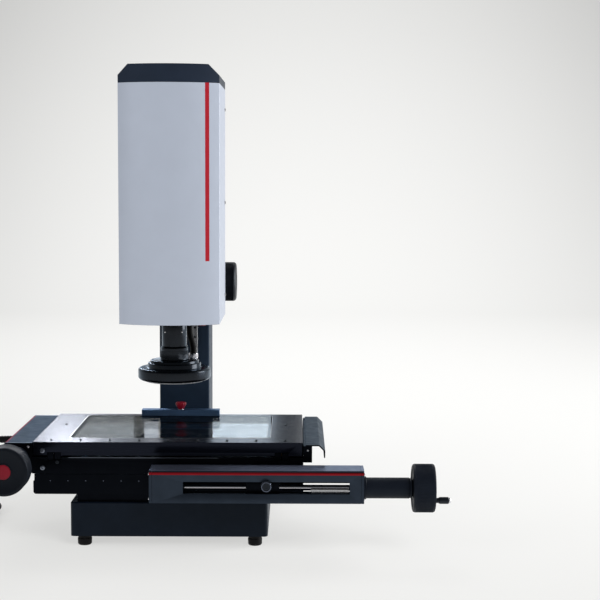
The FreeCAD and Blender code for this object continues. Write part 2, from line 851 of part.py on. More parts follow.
def stage_plate():
    """Top plate with a rebate for the glass, channels below and threaded holes."""
    body = new_body("stage_plate")
    half = S.plate_length / 2
    back = S.plate_width - S.plate_front
    zero = Size(0.0, "0")
    add(body, "Z", PLATE_BOTTOM, zero, (rectangle, -half, half, -S.plate_front, back))
    round_corners(body, "Z", S.plate_round, *corners_of(-half, half, -S.plate_front, back))
    glass = S.glass_length / 2
    glass_back = S.glass_width - S.glass_front
    inner = S.glass_ledge
    cut(body, "Z", PLATE_BOTTOM, zero,
        (rectangle, inner - glass, glass - inner, inner - S.glass_front, glass_back - inner))
    gap = S.seat_gap
    cut(body, "Z", -S.glass_height, zero,
        (rectangle, -glass - gap, glass + gap, -S.glass_front - gap, glass_back + gap))
    round_corners(body, "Z", S.glass_round,
                  *corners_of(-glass - gap, glass + gap, -S.glass_front - gap, glass_back + gap))
    for side in (-1, 1):
        low, high = strip_band(S.y_strip_offset, side)
        cut(body, "Z", PLATE_BOTTOM, Y_LEVEL.moving_high,
            (rectangle, low, high, -S.plate_front, back))
    row = -S.plate_front + S.stage_hole_margin
    middle = (STAGE_HOLES - 1) / 2
    holes = [(circle, (index - middle) * S.stage_hole_pitch, row, S.stage_hole_radius)
             for index in range(STAGE_HOLES)]
    for side in (-1, 1):
        holes.append((circle, side * middle * S.stage_hole_pitch, S.side_hole_back,
                      S.stage_hole_radius))
    cut(body, "Z", -S.stage_hole_depth, zero, *holes)
    cut(body, "Z", -S.stage_hole_depth, zero,
        (circle, 0, back - S.stop_width / 2, S.stop_stem_radius + S.seat_gap))


def stage_glass():
    """Glass insert, its top level with the plate."""
    body = new_body("stage_glass")
    half = S.glass_length / 2
    back = S.glass_width - S.glass_front
    zero = Size(0.0, "0")
    add(body, "Z", -S.glass_height, zero, (rectangle, -half, half, -S.glass_front, back))
    round_corners(body, "Z", S.glass_round, *corners_of(-half, half, -S.glass_front, back))


def stop_bar():
    """Bar along the rear margin and the screw that holds it down."""
    body = new_body("stop_bar")
    half = S.stop_length / 2
    back = S.plate_width - S.plate_front
    middle = back - S.stop_width / 2
    zero = Size(0.0, "0")
    add(body, "Z", zero, S.stop_height, (rectangle, -half, half, back - S.stop_width, back))
    cut(body, "Z", zero, S.stop_height, (circle, 0, middle, S.stop_stem_radius + S.seat_gap))
    screw = new_body("stop_screw")
    foot = S.stop_height + S.stop_knob_lift
    top = foot + S.stop_knob_height
    tip = -S.stop_stem_depth
    shoulder = S.stop_knob_radius
    turn(screw, "Z", (0, middle), [
        (tip, 0), (tip, S.stop_stem_radius), (foot, S.stop_stem_radius),
        (foot, S.stop_knob_foot_radius), (top - S.stop_knob_slope, shoulder),
        (top, shoulder - S.stop_knob_edge), (top, 0)])


# Drives

def across_of(drive):
    """The level axis across a drive."""
    return "Y" if drive.axis == "X" else "X"


def drive_outline(drive):
    chamfer = S.drive_chamfer
    return [(drive.outer, drive.bottom), (drive.inner, drive.bottom), (drive.inner, drive.top),
            (drive.outer + chamfer, drive.top), (drive.outer, drive.top - chamfer)]


def drive_housing(drive):
    """Long hollow housing, slotted outside for the release knob and inside for the arm."""
    body = new_body(drive.name + "_drive_housing")
    wall = S.drive_wall
    first, last = drive.start + wall, drive.end - wall
    add(body, drive.axis, first, last, (outline, *drive_outline(drive)))
    cut(body, drive.axis, first, last, (
        rectangle, drive.outer + wall, drive.inner - wall, drive.bottom + wall, drive.top - wall))
    across = across_of(drive)
    cross, level = drive.rod
    reach = (drive.travel + S.slot_spare) / 2
    slot = level + drive.slot_rise
    cut(body, across, drive.outer, drive.outer + wall, (
        rectangle, drive.place - reach, drive.place + reach,
        slot - S.slot_height / 2, slot + S.slot_height / 2))
    reach = (drive.travel + S.grip_length) / 2 + S.arm_gap
    arm = level + drive.arm_rise
    gap = S.arm_height / 2 + S.arm_gap
    cut(body, across, drive.inner - wall, drive.inner, (
        rectangle, drive.place - reach, drive.place + reach, arm - gap, arm + gap))
    return body


def x_drive_lugs(body):
    """Two lugs that carry the X drive on the front of the guide base."""
    lugs = []
    for near in (X_DRIVE.start + S.lug_inset, S.guide_length / 2 - S.lug_length):
        lugs.append((rectangle, near, near + S.lug_length,
                     X_DRIVE.bottom, X_DRIVE.bottom + S.lug_height))
    add(body, "Y", X_DRIVE.inner, -S.guide_front, *lugs)


def drive_end_caps(drive):
    """The two plates that close a drive housing, bored for the rod."""
    body = new_body(drive.name + "_end_caps")
    wall = S.drive_wall
    for low in (drive.start, drive.end - wall):
        add(body, drive.axis, low, low + wall, (outline, *drive_outline(drive)))
    bore = S.rod_radius + S.rod_gap
    cut(body, drive.axis, drive.start, drive.end, (circle, *drive.rod, bore))


def along_tube(drive, distance):
    """Place on the drive axis at a distance out from the root of the tube."""
    return drive.tube_root + drive.tube_side * distance


def drive_tube(drive):
    """Tube that carries the rod out to the handwheel, its nose bored as the bearing."""
    body = new_body(drive.name + "_drive_tube")
    bore = S.rod_radius + S.rod_gap
    root, nose = along_tube(drive, 0), along_tube(drive, S.tube_length - S.tube_nose)
    tip = along_tube(drive, S.tube_length)
    turn(body, drive.axis, drive.rod, [
        (root, S.tube_bore), (root, S.tube_radius), (tip, S.tube_radius), (tip, bore),
        (nose, bore), (nose, S.tube_bore)])


def drive_rod(drive):
    """Smooth friction rod that runs from one end cap into the handwheel."""
    body = new_body(drive.name + "_drive_rod")
    far = drive.start if drive.tube_side > 0 else drive.end
    inner_end = far + drive.tube_side * S.rod_end_gap
    outer_end = along_tube(drive, S.tube_length + S.wheel_gap + S.wheel_width / 2)
    low, high = (inner_end, outer_end) if drive.tube_side > 0 else (outer_end, inner_end)
    add(body, drive.axis, low, high, (circle, *drive.rod, S.rod_radius))


def crank_place(drive):
    """Centre of the crank handle beside the wheel axis."""
    cross, level = drive.rod
    if drive.name == "y":
        return cross - S.crank_radius, level
    lean = math.sqrt(1 - CRANK_DROP_SINE ** 2)
    return cross - lean * S.crank_radius, level - CRANK_DROP_SINE * S.crank_radius


def handwheel(drive):
    """Handwheel with a recess for its cap and the pin of its crank handle."""
    body = new_body(drive.name + "_handwheel")
    near = S.tube_length + S.wheel_gap
    inside, outside = along_tube(drive, near), along_tube(drive, near + S.wheel_width)
    seat = along_tube(drive, near + S.wheel_width - S.cap_depth)
    hub = along_tube(drive, near + S.wheel_width / 2)
    bore = S.rod_radius + S.rod_gap / 2
    turn(body, drive.axis, drive.rod, [
        (inside, bore), (inside, S.wheel_radius), (outside, S.wheel_radius),
        (outside, S.cap_radius + S.rod_gap), (seat, S.cap_radius + S.rod_gap), (seat, 0),
        (hub, 0), (hub, bore)])
    round_rims(body, S.wheel_round, S.wheel_radius)
    pin_end = S.handle_length + 2 * S.handle_gap
    tip = along_tube(drive, near + S.wheel_width + pin_end)
    head = along_tube(drive, near + S.wheel_width + pin_end + S.crank_head_height)
    turn(body, drive.axis, crank_place(drive), [
        (outside, 0), (outside, S.crank_pin_radius), (tip, S.crank_pin_radius),
        (tip, S.crank_head_radius), (head, S.crank_head_radius), (head, 0)])


def wheel_cap(drive):
    """Coloured disc in the middle of the handwheel."""
    body = new_body(drive.name + "_wheel_cap")
    face = S.tube_length + S.wheel_gap + S.wheel_width
    ends = (along_tube(drive, face - S.cap_depth), along_tube(drive, face + S.cap_rise))
    low, high = ends if drive.tube_side > 0 else ends[::-1]
    add(body, drive.axis, low, high, (circle, *drive.rod, S.cap_radius))


def crank_handle(drive):
    """Loose sleeve that turns on the crank pin."""
    body = new_body(drive.name + "_crank_handle")
    near = S.tube_length + S.wheel_gap + S.wheel_width + S.handle_gap
    ends = (along_tube(drive, near), along_tube(drive, near + S.handle_length))
    low, high = ends if drive.tube_side > 0 else ends[::-1]
    add(body, drive.axis, low, high,
        (circle, *crank_place(drive), S.handle_radius),
        (circle, *crank_place(drive), S.crank_pin_radius + S.rod_gap))


def grip_block(drive, arm_points):
    """Block that grips the rod, with an arm out to the slide that it drives."""
    body = new_body(drive.name + "_grip")
    cross, level = drive.rod
    low, high = drive.block
    half = S.grip_length / 2
    front, back = cross - S.grip_depth / 2, cross + S.grip_depth / 2
    points = [(front, level + low), (back, level + low), *arm_points, (back, level + high),
              (front, level + high)]
    add(body, drive.axis, drive.place - half, drive.place + half, (outline, *points))
    cut(body, drive.axis, drive.place - half, drive.place + half,
        (circle, cross, level, S.rod_radius + S.rod_gap))
    rod_front = cross - S.rod_radius - S.seat_gap
    knob = level + drive.knob_rise
    cut(body, across_of(drive), front, rod_front,
        (circle, drive.place, knob, S.release_stem_radius + S.rod_gap))
    return body


def x_grip():
    """The arm rises in front of the carriage and is screwed to its front face."""
    cross, level = X_DRIVE.rod
    back = cross + S.grip_depth / 2
    arm = level + X_DRIVE.arm_rise
    half = S.arm_height / 2
    face = -S.plate_front
    plate = face - S.x_arm_plate
    top = CARRIAGE_TOP - S.x_arm_top_drop
    grip_block(X_DRIVE, [(back, arm - half), (face, arm - half), (face, top), (plate, top),
                         (plate, arm + half), (back, arm + half)])


def y_grip():
    """The arm reaches over the carriage to the left edge of the stage plate."""
    cross, level = Y_DRIVE.rod
    back = cross + S.grip_depth / 2
    arm = level + Y_DRIVE.arm_rise
    half = S.arm_height / 2
    edge = -S.plate_length / 2
    grip_block(Y_DRIVE, [(back, arm - half), (edge, arm - half), (edge, arm + half),
                         (back, arm + half)])


def release_knob(drive):
    """Round knob in front of the slot that frees the grip from the rod."""
    body = new_body(drive.name + "_release_knob")
    cross, level = drive.rod
    knob = level + drive.knob_rise
    tip = cross - S.rod_radius - 2 * S.seat_gap
    rear = drive.outer - S.release_gap
    front = rear - S.release_height
    edge = S.release_edge
    turn(body, across_of(drive), (drive.place, knob), [
        (tip, 0), (tip, S.release_stem_radius), (rear, S.release_stem_radius),
        (rear, S.release_radius), (front + edge, S.release_radius),
        (front, S.release_radius - edge), (front, 0)])


def drive_unit(drive):
    body = drive_housing(drive)
    if drive.name == "x":
        x_drive_lugs(body)
    drive_end_caps(drive)
    drive_tube(drive)
    drive_rod(drive)
    handwheel(drive)
    wheel_cap(drive)
    crank_handle(drive)
    release_knob(drive)


def side_cover():
    """Bent sheet along the right edge of the slide and the two blocks that carry it."""
    edge = S.carriage_length / 2
    back = S.plate_width - S.plate_front
    under = -S.side_drop - S.side_sheet
    blocks = new_body("side_blocks")
    bottom = CARRIAGE_TOP - S.side_block_overlap
    for low in (-S.plate_front, back - S.side_block_width):
        add(blocks, "Y", low, low + S.side_block_width,
            (rectangle, edge, edge + S.side_block_length, bottom, under))
    sheet = new_body("side_cover")
    start, top = edge + S.side_start, -S.side_drop
    flat, bend, thick = start + S.side_flat, S.side_bend, S.side_sheet
    foot = top - bend - S.side_flange
    slant = thick * math.tan(math.radians(22.5))
    add(sheet, "Y", -S.plate_front, back, (
        outline, (start, top), (flat, top), (flat + bend, top - bend), (flat + bend, foot),
        (flat + bend - thick, foot), (flat + bend - thick, top - bend - slant),
        (flat - slant, top - thick), (start, top - thick)))


# Column

def column():
    """Hollow column on the rear of the base, closed at its top."""
    body = new_body("column")
    half = S.column_width / 2
    back = S.column_front + S.column_depth
    add(body, "Z", BASE_TOP, S.column_top, (rectangle, -half, half, S.column_front, back))
    round_corners(body, "Z", S.column_round, *corners_of(-half, half, S.column_front, back))
    wall = S.column_wall
    cut(body, "Z", BASE_TOP, S.column_top - S.column_lid,
        (rectangle, wall - half, half - wall, S.column_front + wall, back - wall))


def column_rails():
    """Two guide rails on the front of the column."""
    body = new_body("column_rails")
    half = S.rail_width / 2
    shapes = []
    for side in (-1, 1):
        centre = side * S.rail_spacing / 2
        shapes.append((rectangle, centre - half, centre + half,
                       S.column_front - S.rail_depth, S.column_front))
    add(body, "Z", S.rail_bottom, S.rail_top, *shapes)


PITCH = math.pi * S.gear_module
PINION_RADIUS = PINION_TEETH * S.gear_module / 2
PITCH_LINE = S.column_front - S.head_carriage_back + S.rack_gap + S.gear_module
FOCUS_Y = PITCH_LINE - PINION_RADIUS
FLANK = math.tan(math.radians(PRESSURE_ANGLE))


def rack():
    """Rack between the rails, with a tooth level with the pinion's axis."""
    body = new_body("rack")
    half = S.rack_width / 2
    tip, root = PITCH_LINE - S.gear_module, PITCH_LINE + 1.25 * S.gear_module
    add(body, "Z", S.rail_bottom, S.rail_top, (rectangle, -half, half, tip, S.column_front))
    below = int((value_of(S.focus_height) - value_of(S.rail_bottom)) / value_of(PITCH))
    above = int((value_of(S.rail_top) - value_of(S.focus_height)) / value_of(PITCH))
    count = below + above
    lowest = S.focus_height - (below - 0.5) * PITCH
    gap = PITCH / 4 + S.gear_backlash / 2
    mouth, foot = gap + FLANK * S.gear_module, gap - FLANK * 1.25 * S.gear_module
    pocket = cut(body, "X", -half, half, (
        outline, (tip, lowest - mouth), (root, lowest - foot), (root, lowest + foot),
        (tip, lowest + mouth)))
    repeat_along(body, pocket, "Z", PITCH, count)


def focus_shaft():
    """Shaft with the pinion that climbs the rack."""
    body = new_body("focus_shaft")
    centre = (FOCUS_Y, S.focus_height)
    half = S.rack_width / 2
    tip = PINION_RADIUS + S.gear_module
    root = PINION_RADIUS - 1.25 * S.gear_module
    shaft = S.focus_shaft_radius
    left = -S.head_carriage_width / 2
    right = S.focus_knob_start + S.focus_knob_width / 2
    blank = turn(body, "X", centre, [
        (left, 0), (left, shaft), (-half, shaft), (-half, tip), (half, tip), (half, shaft),
        (right, shaft), (right, 0)])
    gap = PITCH / 4 + S.gear_backlash / 2
    mouth, foot = gap + FLANK * S.gear_module, gap - FLANK * 1.25 * S.gear_module
    middle, bottom = centre[0], centre[1] - root
    pocket = cut(body, "X", -half, half, (
        outline, (middle - foot, bottom), (middle + foot, bottom),
        (middle + mouth, centre[1] - tip), (middle - mouth, centre[1] - tip)))
    pattern = body.newObject("PartDesign::PolarPattern", "pinion_teeth")
    pattern.Originals = [pocket]
    pattern.Axis = (blank.Profile[0], ["Axis0"])
    pattern.Angle = 360.0
    pattern.Occurrences = PINION_TEETH
    body.Tip = pattern


def focus_knob():
    """Large knob on the right end of the focus shaft."""
    body = new_body("focus_knob")
    start = S.focus_knob_start
    end = start + S.focus_knob_width
    bore = S.focus_shaft_radius + S.rod_gap / 2
    hub = start + S.focus_knob_width / 2 + S.seat_gap
    turn(body, "X", (FOCUS_Y, S.focus_height), [
        (start, bore), (start, S.focus_knob_radius), (end, S.focus_knob_radius), (end, 0),
        (hub, 0), (hub, bore)])
    dress(body, "Fillet", S.focus_knob_round, lambda shape: level_edges(shape, "X", end))


# Head

HEAD_BACK = S.column_front - S.head_carriage_back
HEAD_FRONT = HEAD_BACK - S.head_carriage_depth
HEAD_BOTTOM = S.head_carriage_bottom
HEAD_TOP = HEAD_BOTTOM + S.head_carriage_height
BRACKET_BOTTOM = S.focus_height + S.bracket_rise
BRACKET_TOP = BRACKET_BOTTOM + S.bracket_height


def head_carriage():
    """Plate that climbs the rails, with the bosses of the focus shaft on its front."""
    body = new_body("head_carriage")
    half = S.head_carriage_width / 2
    add(body, "Z", HEAD_BOTTOM, HEAD_TOP, (rectangle, -half, half, HEAD_FRONT, HEAD_BACK))
    boss_low = S.focus_height - S.focus_boss_height / 2
    boss_high = S.focus_height + S.focus_boss_height / 2
    opening = S.rack_width / 2 + S.pinion_side_gap
    for low, high in ((-half, -opening), (opening, half)):
        add(body, "X", low, high,
            (rectangle, HEAD_FRONT - S.focus_boss_depth, HEAD_FRONT, boss_low, boss_high))
    reach = PINION_RADIUS + 2 * S.gear_module
    cut(body, "Y", HEAD_FRONT, HEAD_BACK, (
        rectangle, -opening, opening, S.focus_height - reach, S.focus_height + reach))
    cut(body, "X", -half, half,
        (circle, FOCUS_Y, S.focus_height, S.focus_shaft_radius + S.rod_gap))
    middle = HEAD_BACK - S.head_carriage_depth / 2
    cut(body, "Z", HEAD_BOTTOM, HEAD_BOTTOM + S.clamp_stem_depth + S.clamp_spare,
        (circle, S.clamp_place_x, middle, S.clamp_stem_radius + S.rod_gap))


def bearing_blocks():
    """Four blocks on the back of the carriage plate, two on each rail."""
    body = new_body("bearing_blocks")
    back = S.column_front - S.block_back_gap
    half = S.block_width / 2
    low = HEAD_BOTTOM + S.block_lift
    high = HEAD_TOP - S.block_lift - S.block_height
    for bottom in (low, high):
        blocks, channels = [], []
        for side in (-1, 1):
            centre = side * S.rail_spacing / 2
            channel = S.rail_width / 2 + S.block_gap
            blocks.append((rectangle, centre - half, centre + half, HEAD_BACK, back))
            channels.append((rectangle, centre - channel, centre + channel,
                             S.column_front - S.rail_depth - S.block_gap, back))
        add(body, "Z", bottom, bottom + S.block_height, *blocks)
        cut(body, "Z", bottom, bottom + S.block_height, *channels)


def clamp_knob():
    """Tapered screw under the carriage that holds the height."""
    body = new_body("clamp_knob")
    middle = HEAD_BACK - S.head_carriage_depth / 2
    neck = HEAD_BOTTOM - S.clamp_neck
    foot = neck - S.clamp_height
    radius, edge = S.clamp_radius, S.clamp_edge
    tip = HEAD_BOTTOM + S.clamp_stem_depth
    turn(body, "Z", (S.clamp_place_x, middle), [
        (foot, 0), (foot, radius - S.clamp_taper), (neck - edge, radius), (neck, radius - edge),
        (neck, S.clamp_stem_radius), (tip, S.clamp_stem_radius), (tip, 0)])


def head_bracket():
    """Flanged bracket from the carriage to the collar that clamps the zoom body."""
    body = new_body("head_bracket")
    half = S.bracket_width / 2
    low, high = BRACKET_BOTTOM, BRACKET_TOP
    flange = S.bracket_flange
    add(body, "X", -half, half, (rectangle, S.bracket_front, HEAD_FRONT, low, high))
    for start, end in ((-half, -S.bracket_web / 2), (S.bracket_web / 2, half)):
        cut(body, "X", start, end, (
            rectangle, S.bracket_front + flange, HEAD_FRONT - flange, low + flange, high - flange))
    collar = low + S.collar_rise
    collar_top = collar + S.collar_height
    bore = S.zoom_radius + S.rod_gap
    add(body, "Z", collar, collar_top, (circle, 0, 0, bore + S.collar_wall))
    cut(body, "Z", collar, collar_top, (circle, 0, 0, bore))
    slit = S.collar_slit / 2
    cut(body, "Z", collar, collar_top,
        (rectangle, -slit, slit, -bore - 2 * S.collar_wall, -bore + S.collar_slit))


def zoom_lens():
    """Zoom body with its slim lens below, and the ring that sets the zoom."""
    body = new_body("zoom_body")
    core = S.lens_core_radius
    turn(body, "Z", (0, 0), [
        (S.ring_nose, 0), (S.ring_nose, core), (S.lens_bottom, core),
        (S.lens_bottom, S.lens_radius), (S.zoom_bottom, S.lens_radius),
        (S.zoom_bottom + S.zoom_slope, S.zoom_radius), (S.zoom_top, S.zoom_radius), (S.zoom_top, core),
        (S.coupler_top, core), (S.coupler_top, 0)])
    ring = new_body("zoom_ring")
    inner = core + S.seat_gap
    low, high = S.ring_flange_top + S.seat_gap, S.lens_bottom - S.seat_gap
    outer, edge = S.zoom_ring_radius, S.zoom_ring_edge
    turn(ring, "Z", (0, 0), [
        (low, inner), (low, outer), (high - edge, outer), (high, outer - edge), (high, inner)])


def camera():
    """Camera on the top of the zoom body."""
    body = new_body("camera")
    half = S.camera_width / 2
    top = S.coupler_top + S.camera_height
    add(body, "Z", S.coupler_top, top, (rectangle, -half, half, -half, half))
    round_corners(body, "Z", S.camera_round, *corners_of(-half, half, -half, half))


def ring_light():
    """Ring lamp clamped round the nose of the lens, with a channel for its diffuser."""
    body = new_body("ring_light")
    bore = S.lens_core_radius + S.rod_gap
    outer, bevel = S.ring_radius, S.ring_bevel
    low, top = S.ring_bottom, S.ring_top
    roof = low + S.ring_channel_depth
    turn(body, "Z", (0, 0), [
        (S.ring_flange_top, bore), (S.ring_flange_top, S.ring_flange_radius),
        (top, S.ring_flange_radius), (top, outer - S.ring_shoulder),
        (top - S.ring_shoulder, outer), (low + bevel, outer), (low, outer - bevel),
        (low, S.ring_channel), (roof, S.ring_channel), (roof, S.ring_inner),
        (low, S.ring_inner), (low, S.ring_inner - S.ring_inner_wall), (S.ring_nose, bore)])


def light_guide():
    """Metal sleeve on the ring lamp and the thick light guide that climbs into the cover."""
    sleeve = new_body("guide_sleeve")
    x, y = S.light_guide_x, S.light_guide_y
    top = S.ring_top + S.guide_sleeve_height
    add(sleeve, "Z", S.ring_top, top, (circle, x, y, S.guide_sleeve_radius))
    leant = x - S.light_guide_lean
    route = [(x, y, top), (x, y, top + S.light_guide_bend),
             (leant, y, top + S.light_guide_upper_bend), (leant, y, top + S.light_guide_height)]
    route_solid("light_guide", route, S.light_guide_radius)


def cover_shape(sketch, half, back, corner, bow):
    """Flat back and sides with a front that bows outward as one arc."""
    first = sketch.GeometryCount
    radius = (half * half + bow * bow) / (2 * bow)
    centre_y = radius - corner - bow
    lean = math.asin(value_of(half) / value_of(radius))
    line_points = [(half, -corner), (half, back), (-half, back), (-half, -corner)]
    for start, end in zip(line_points, line_points[1:]):
        sketch.addGeometry(Part.LineSegment(vector(*start), vector(*end)), False)
    ring = Part.Circle(vector(0, centre_y), FreeCAD.Vector(0, 0, 1), value_of(radius))
    down = -math.pi / 2
    sketch.addGeometry(Part.ArcOfCircle(ring, down - lean, down + lean), False)
    for index in range(4):
        after = first + (index + 1) % 4
        sketch.addConstraint(Sketcher.Constraint("Coincident", first + index, 2, after, 1))
    for index, point in enumerate(line_points[:3]):
        fix_point(sketch, first + index, 1, *point)
    fix_point(sketch, first + 2, 2, *line_points[3])
    number = sketch.addConstraint(Sketcher.Constraint("Radius", first + 3, value_of(radius)))
    bind(sketch, "Constraints[%d]" % number, radius)


def head_cover():
    """Bowed sheet cover open at the back, with its cap and the chassis sheet that closes it."""
    half, back, corner, bow = S.cover_half, S.cover_back, S.cover_corner, S.cover_bow
    wall = S.cover_wall
    low, high = S.cover_bottom, S.cover_top
    body = new_body("head_cover")
    add(body, "Z", low, high, (cover_shape, half, back, corner, bow))
    cut(body, "Z", low, high, (cover_shape, half - wall, back + wall, corner - wall, bow))
    cap = new_body("head_cap")
    top = high + S.head_cap_height
    add(cap, "Z", high, top, (cover_shape, half, back, corner, bow))
    dress(cap, "Chamfer", S.head_cap_chamfer,
          lambda shape: straight_edges(shape, "Y", [(-half, top), (half, top)]))
    hollow(cap, wall)
    chassis = new_body("head_chassis")
    gap = S.seat_gap
    inside = half - wall - gap
    add(chassis, "Z", low, low + wall, (cover_shape, inside, back, corner - wall - gap, bow))
    add(chassis, "Y", back - wall, back, (rectangle, -inside, inside, low, high))
    cut(chassis, "Z", low, low + wall,
        (circle, 0, 0, S.lens_radius + S.chassis_lens_gap),
        (circle, S.light_guide_x - S.light_guide_lean, S.light_guide_y, S.light_guide_radius + gap))
    side = S.bracket_width / 2 + gap
    cut(chassis, "Y", back - wall, back, (
        rectangle, -side, side, BRACKET_BOTTOM - gap, BRACKET_TOP + gap))


# Cable

def rounded_route(points):
    """Straight runs joined by tangent arcs, each as large as its two runs allow."""
    points = [vector(*point) for point in points]
    edges, start, radii = [], points[0], []
    for before, corner, after in zip(points, points[1:], points[2:]):
        inward, outward = (before - corner).normalize(), (after - corner).normalize()
        half_turn = (math.pi - inward.getAngle(outward)) / 2
        reach = 0.45 * min(before.distanceToPoint(corner), after.distanceToPoint(corner))
        radii.append(reach / math.tan(half_turn))
        first, last = corner + inward * reach, corner + outward * reach
        inside = (inward + outward).normalize()
        middle = corner + inside * (radii[-1] / math.cos(half_turn) - radii[-1])
        edges.append(Part.LineSegment(start, first).toShape())
        edges.append(Part.Arc(first, middle, last).toShape())
        start = last
    edges.append(Part.LineSegment(start, points[-1]).toShape())
    return Part.Wire(edges), radii


def route_solid(name, points, radius):
    """A round tube along a rounded route, in the frame that all bodies share."""
    path, radii = rounded_route(points)
    start, after = vector(*points[0]), vector(*points[1])
    end = Part.Wire([Part.Circle(start, after - start, value_of(radius)).toShape()])
    solid = path.makePipeShell([end], True, False)
    feature = DOC.addObject("Part::Feature", name)
    feature.Label = name
    feature.Shape = solid
    for direction, shift in SHIFT.items():
        bind(feature, "Placement.Base." + direction, shift)
    NODES.append(feature)
    whole = math.pi * value_of(radius) ** 2 * path.Length
    print(name, "length %.1f" % path.Length, "volume ratio %.4f" % (solid.Volume / whole),
          "radii", [round(bend, 1) for bend in radii])


def cable():
    """Gland on the Y drive, the cable down to the floor, its coil and its connector."""
    outer = Y_DRIVE.outer
    centre = (-S.gland_y, -S.gland_drop)
    tip = outer - S.gland_length
    gland = new_body("cable_gland")
    turn(gland, "X", centre, [
        (outer, 0), (outer, S.gland_flange_radius), (outer - S.gland_flange, S.gland_flange_radius),
        (outer - S.gland_flange, S.gland_radius), (tip, S.gland_tip_radius), (tip, 0)])
    route_solid("cable", [(tip, *centre), (tip - S.cable_straight, *centre), *CABLE_ROUTE],
                S.cable_radius)
    coil = new_body("cable_coil")
    low = FLOOR + S.floor_gap
    add(coil, "Z", low, low + S.coil_height,
        (circle, -S.coil_x, S.coil_y, S.coil_outer), (circle, -S.coil_x, S.coil_y, S.coil_inner))
    plug = new_body("cable_plug")
    centre_x = -S.coil_x + S.plug_place
    relief_end = S.coil_y - S.plug_relief_start - S.plug_relief_length
    body_end = relief_end - S.plug_length
    middle = low + S.plug_height / 2
    half = S.plug_width / 2
    add(plug, "Y", body_end, relief_end, (rectangle, centre_x - half, centre_x + half,
                                          low, low + S.plug_height))
    add(plug, "Y", relief_end, relief_end + S.plug_relief_length,
        (circle, centre_x, middle, S.plug_relief_radius))
    shell = S.plug_shell_width / 2
    add(plug, "Y", body_end - S.plug_shell_length, body_end, (
        rectangle, centre_x - shell, centre_x + shell,
        middle - S.plug_shell_height / 2, middle + S.plug_shell_height / 2))


# Assembly and checks

def build_all():
    base_housing()
    base_cover()
    rubber_feet()
    spacer_plate()
    guide_base()
    guides()
    transmitted_light()
    x_carriage()
    stage_plate()
    stage_glass()
    stop_bar()
    drive_unit(X_DRIVE)
    drive_unit(Y_DRIVE)
    x_grip()
    y_grip()
    side_cover()
    column()
    column_rails()
    rack()
    focus_shaft()
    focus_knob()
    head_carriage()
    bearing_blocks()
    clamp_knob()
    head_bracket()
    zoom_lens()
    camera()
    ring_light()
    light_guide()
    head_cover()
    cable()
    DOC.recompute()


def problems():
    """What is wrong with the document, as a list of lines."""
    found = []
    for part in DOC.Objects:
        if "Invalid" in part.State or "Error" in part.State:
            found.append("%s did not compute: %s" % (part.Name, part.State))
        if part.TypeId in ("PartDesign::Pocket", "PartDesign::Groove") and part.BaseFeature:
            if part.Shape.Volume > part.BaseFeature.Shape.Volume - 0.01:
                found.append("%s cut nothing" % part.Name)
    for node in NODES:
        if node.Shape.isNull() or not node.Shape.isValid():
            found.append("%s has no valid shape" % node.Label)
    return found


def main():
    build_all()
    found = problems()
    if found:
        raise SystemExit("\n".join(found))
    os.makedirs("parts", exist_ok=True)
    for node in NODES:
        node.Shape.exportStep(os.path.join("parts", node.Label + ".step"))
    print(len(NODES), "parts")


main()
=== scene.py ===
"""Looks of a measuring microscope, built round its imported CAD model."""

import json
import math

import bmesh
import bpy
import numpy as np
from bpy.props import FloatProperty, FloatVectorProperty, IntProperty, PointerProperty
from mathutils import Matrix, Vector


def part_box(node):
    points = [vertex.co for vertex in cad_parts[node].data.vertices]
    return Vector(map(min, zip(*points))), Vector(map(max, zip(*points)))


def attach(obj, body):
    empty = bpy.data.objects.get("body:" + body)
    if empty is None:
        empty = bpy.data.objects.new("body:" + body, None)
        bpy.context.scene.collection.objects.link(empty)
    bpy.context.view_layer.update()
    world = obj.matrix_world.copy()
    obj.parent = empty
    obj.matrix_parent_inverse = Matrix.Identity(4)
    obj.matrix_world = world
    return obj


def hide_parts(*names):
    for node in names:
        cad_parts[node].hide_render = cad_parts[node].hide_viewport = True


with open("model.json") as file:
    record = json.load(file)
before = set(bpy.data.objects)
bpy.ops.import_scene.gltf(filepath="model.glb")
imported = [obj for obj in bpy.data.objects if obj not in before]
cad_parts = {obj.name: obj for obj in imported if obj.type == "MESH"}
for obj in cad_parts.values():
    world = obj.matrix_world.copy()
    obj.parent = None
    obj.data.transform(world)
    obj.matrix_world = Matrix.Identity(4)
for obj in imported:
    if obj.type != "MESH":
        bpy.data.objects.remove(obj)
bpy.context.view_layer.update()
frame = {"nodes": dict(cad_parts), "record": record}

bl_info = {
    "name": "Measuring Microscope Looks",
    "version": (1, 0, 0),
    "blender": (4, 5, 0),
    "location": "View3D > Sidebar > Microscope",
    "description": "Finishes and visible details of a measuring microscope",
    "category": "Object",
}

MM = 0.001
AXES = {"X": (0, 1, 2), "Y": (1, 2, 0), "Z": (2, 0, 1)}


def linear(red, green, blue):
    """Linear colour of an 8-bit display colour."""
    return tuple(
        value / 255 / 12.92 if value <= 10 else ((value / 255 + 0.055) / 1.055) ** 2.4
        for value in (red, green, blue))


def box_mm(node):
    """Lowest and highest corner of a CAD node, in millimetres."""
    return tuple(np.array(corner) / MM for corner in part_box(node))


def middle_mm(node):
    """Centre of a CAD node's box, in millimetres."""
    low, high = box_mm(node)
    return (low + high) / 2


# Settings that a user would change

def colour(name, description, default):
    """A setting that holds a linear colour."""
    return FloatVectorProperty(name=name, description=description, subtype="COLOR", size=3,
                               min=0, max=1, default=default)


def length(name, description, default_mm):
    """A setting that holds a length, its default in millimetres."""
    return FloatProperty(name=name, description=description, subtype="DISTANCE", unit="LENGTH",
                         min=0, default=default_mm * MM)


def amount(name, description, default):
    """A setting that holds a power, a strength or a share."""
    return FloatProperty(name=name, description=description, min=0, default=default)


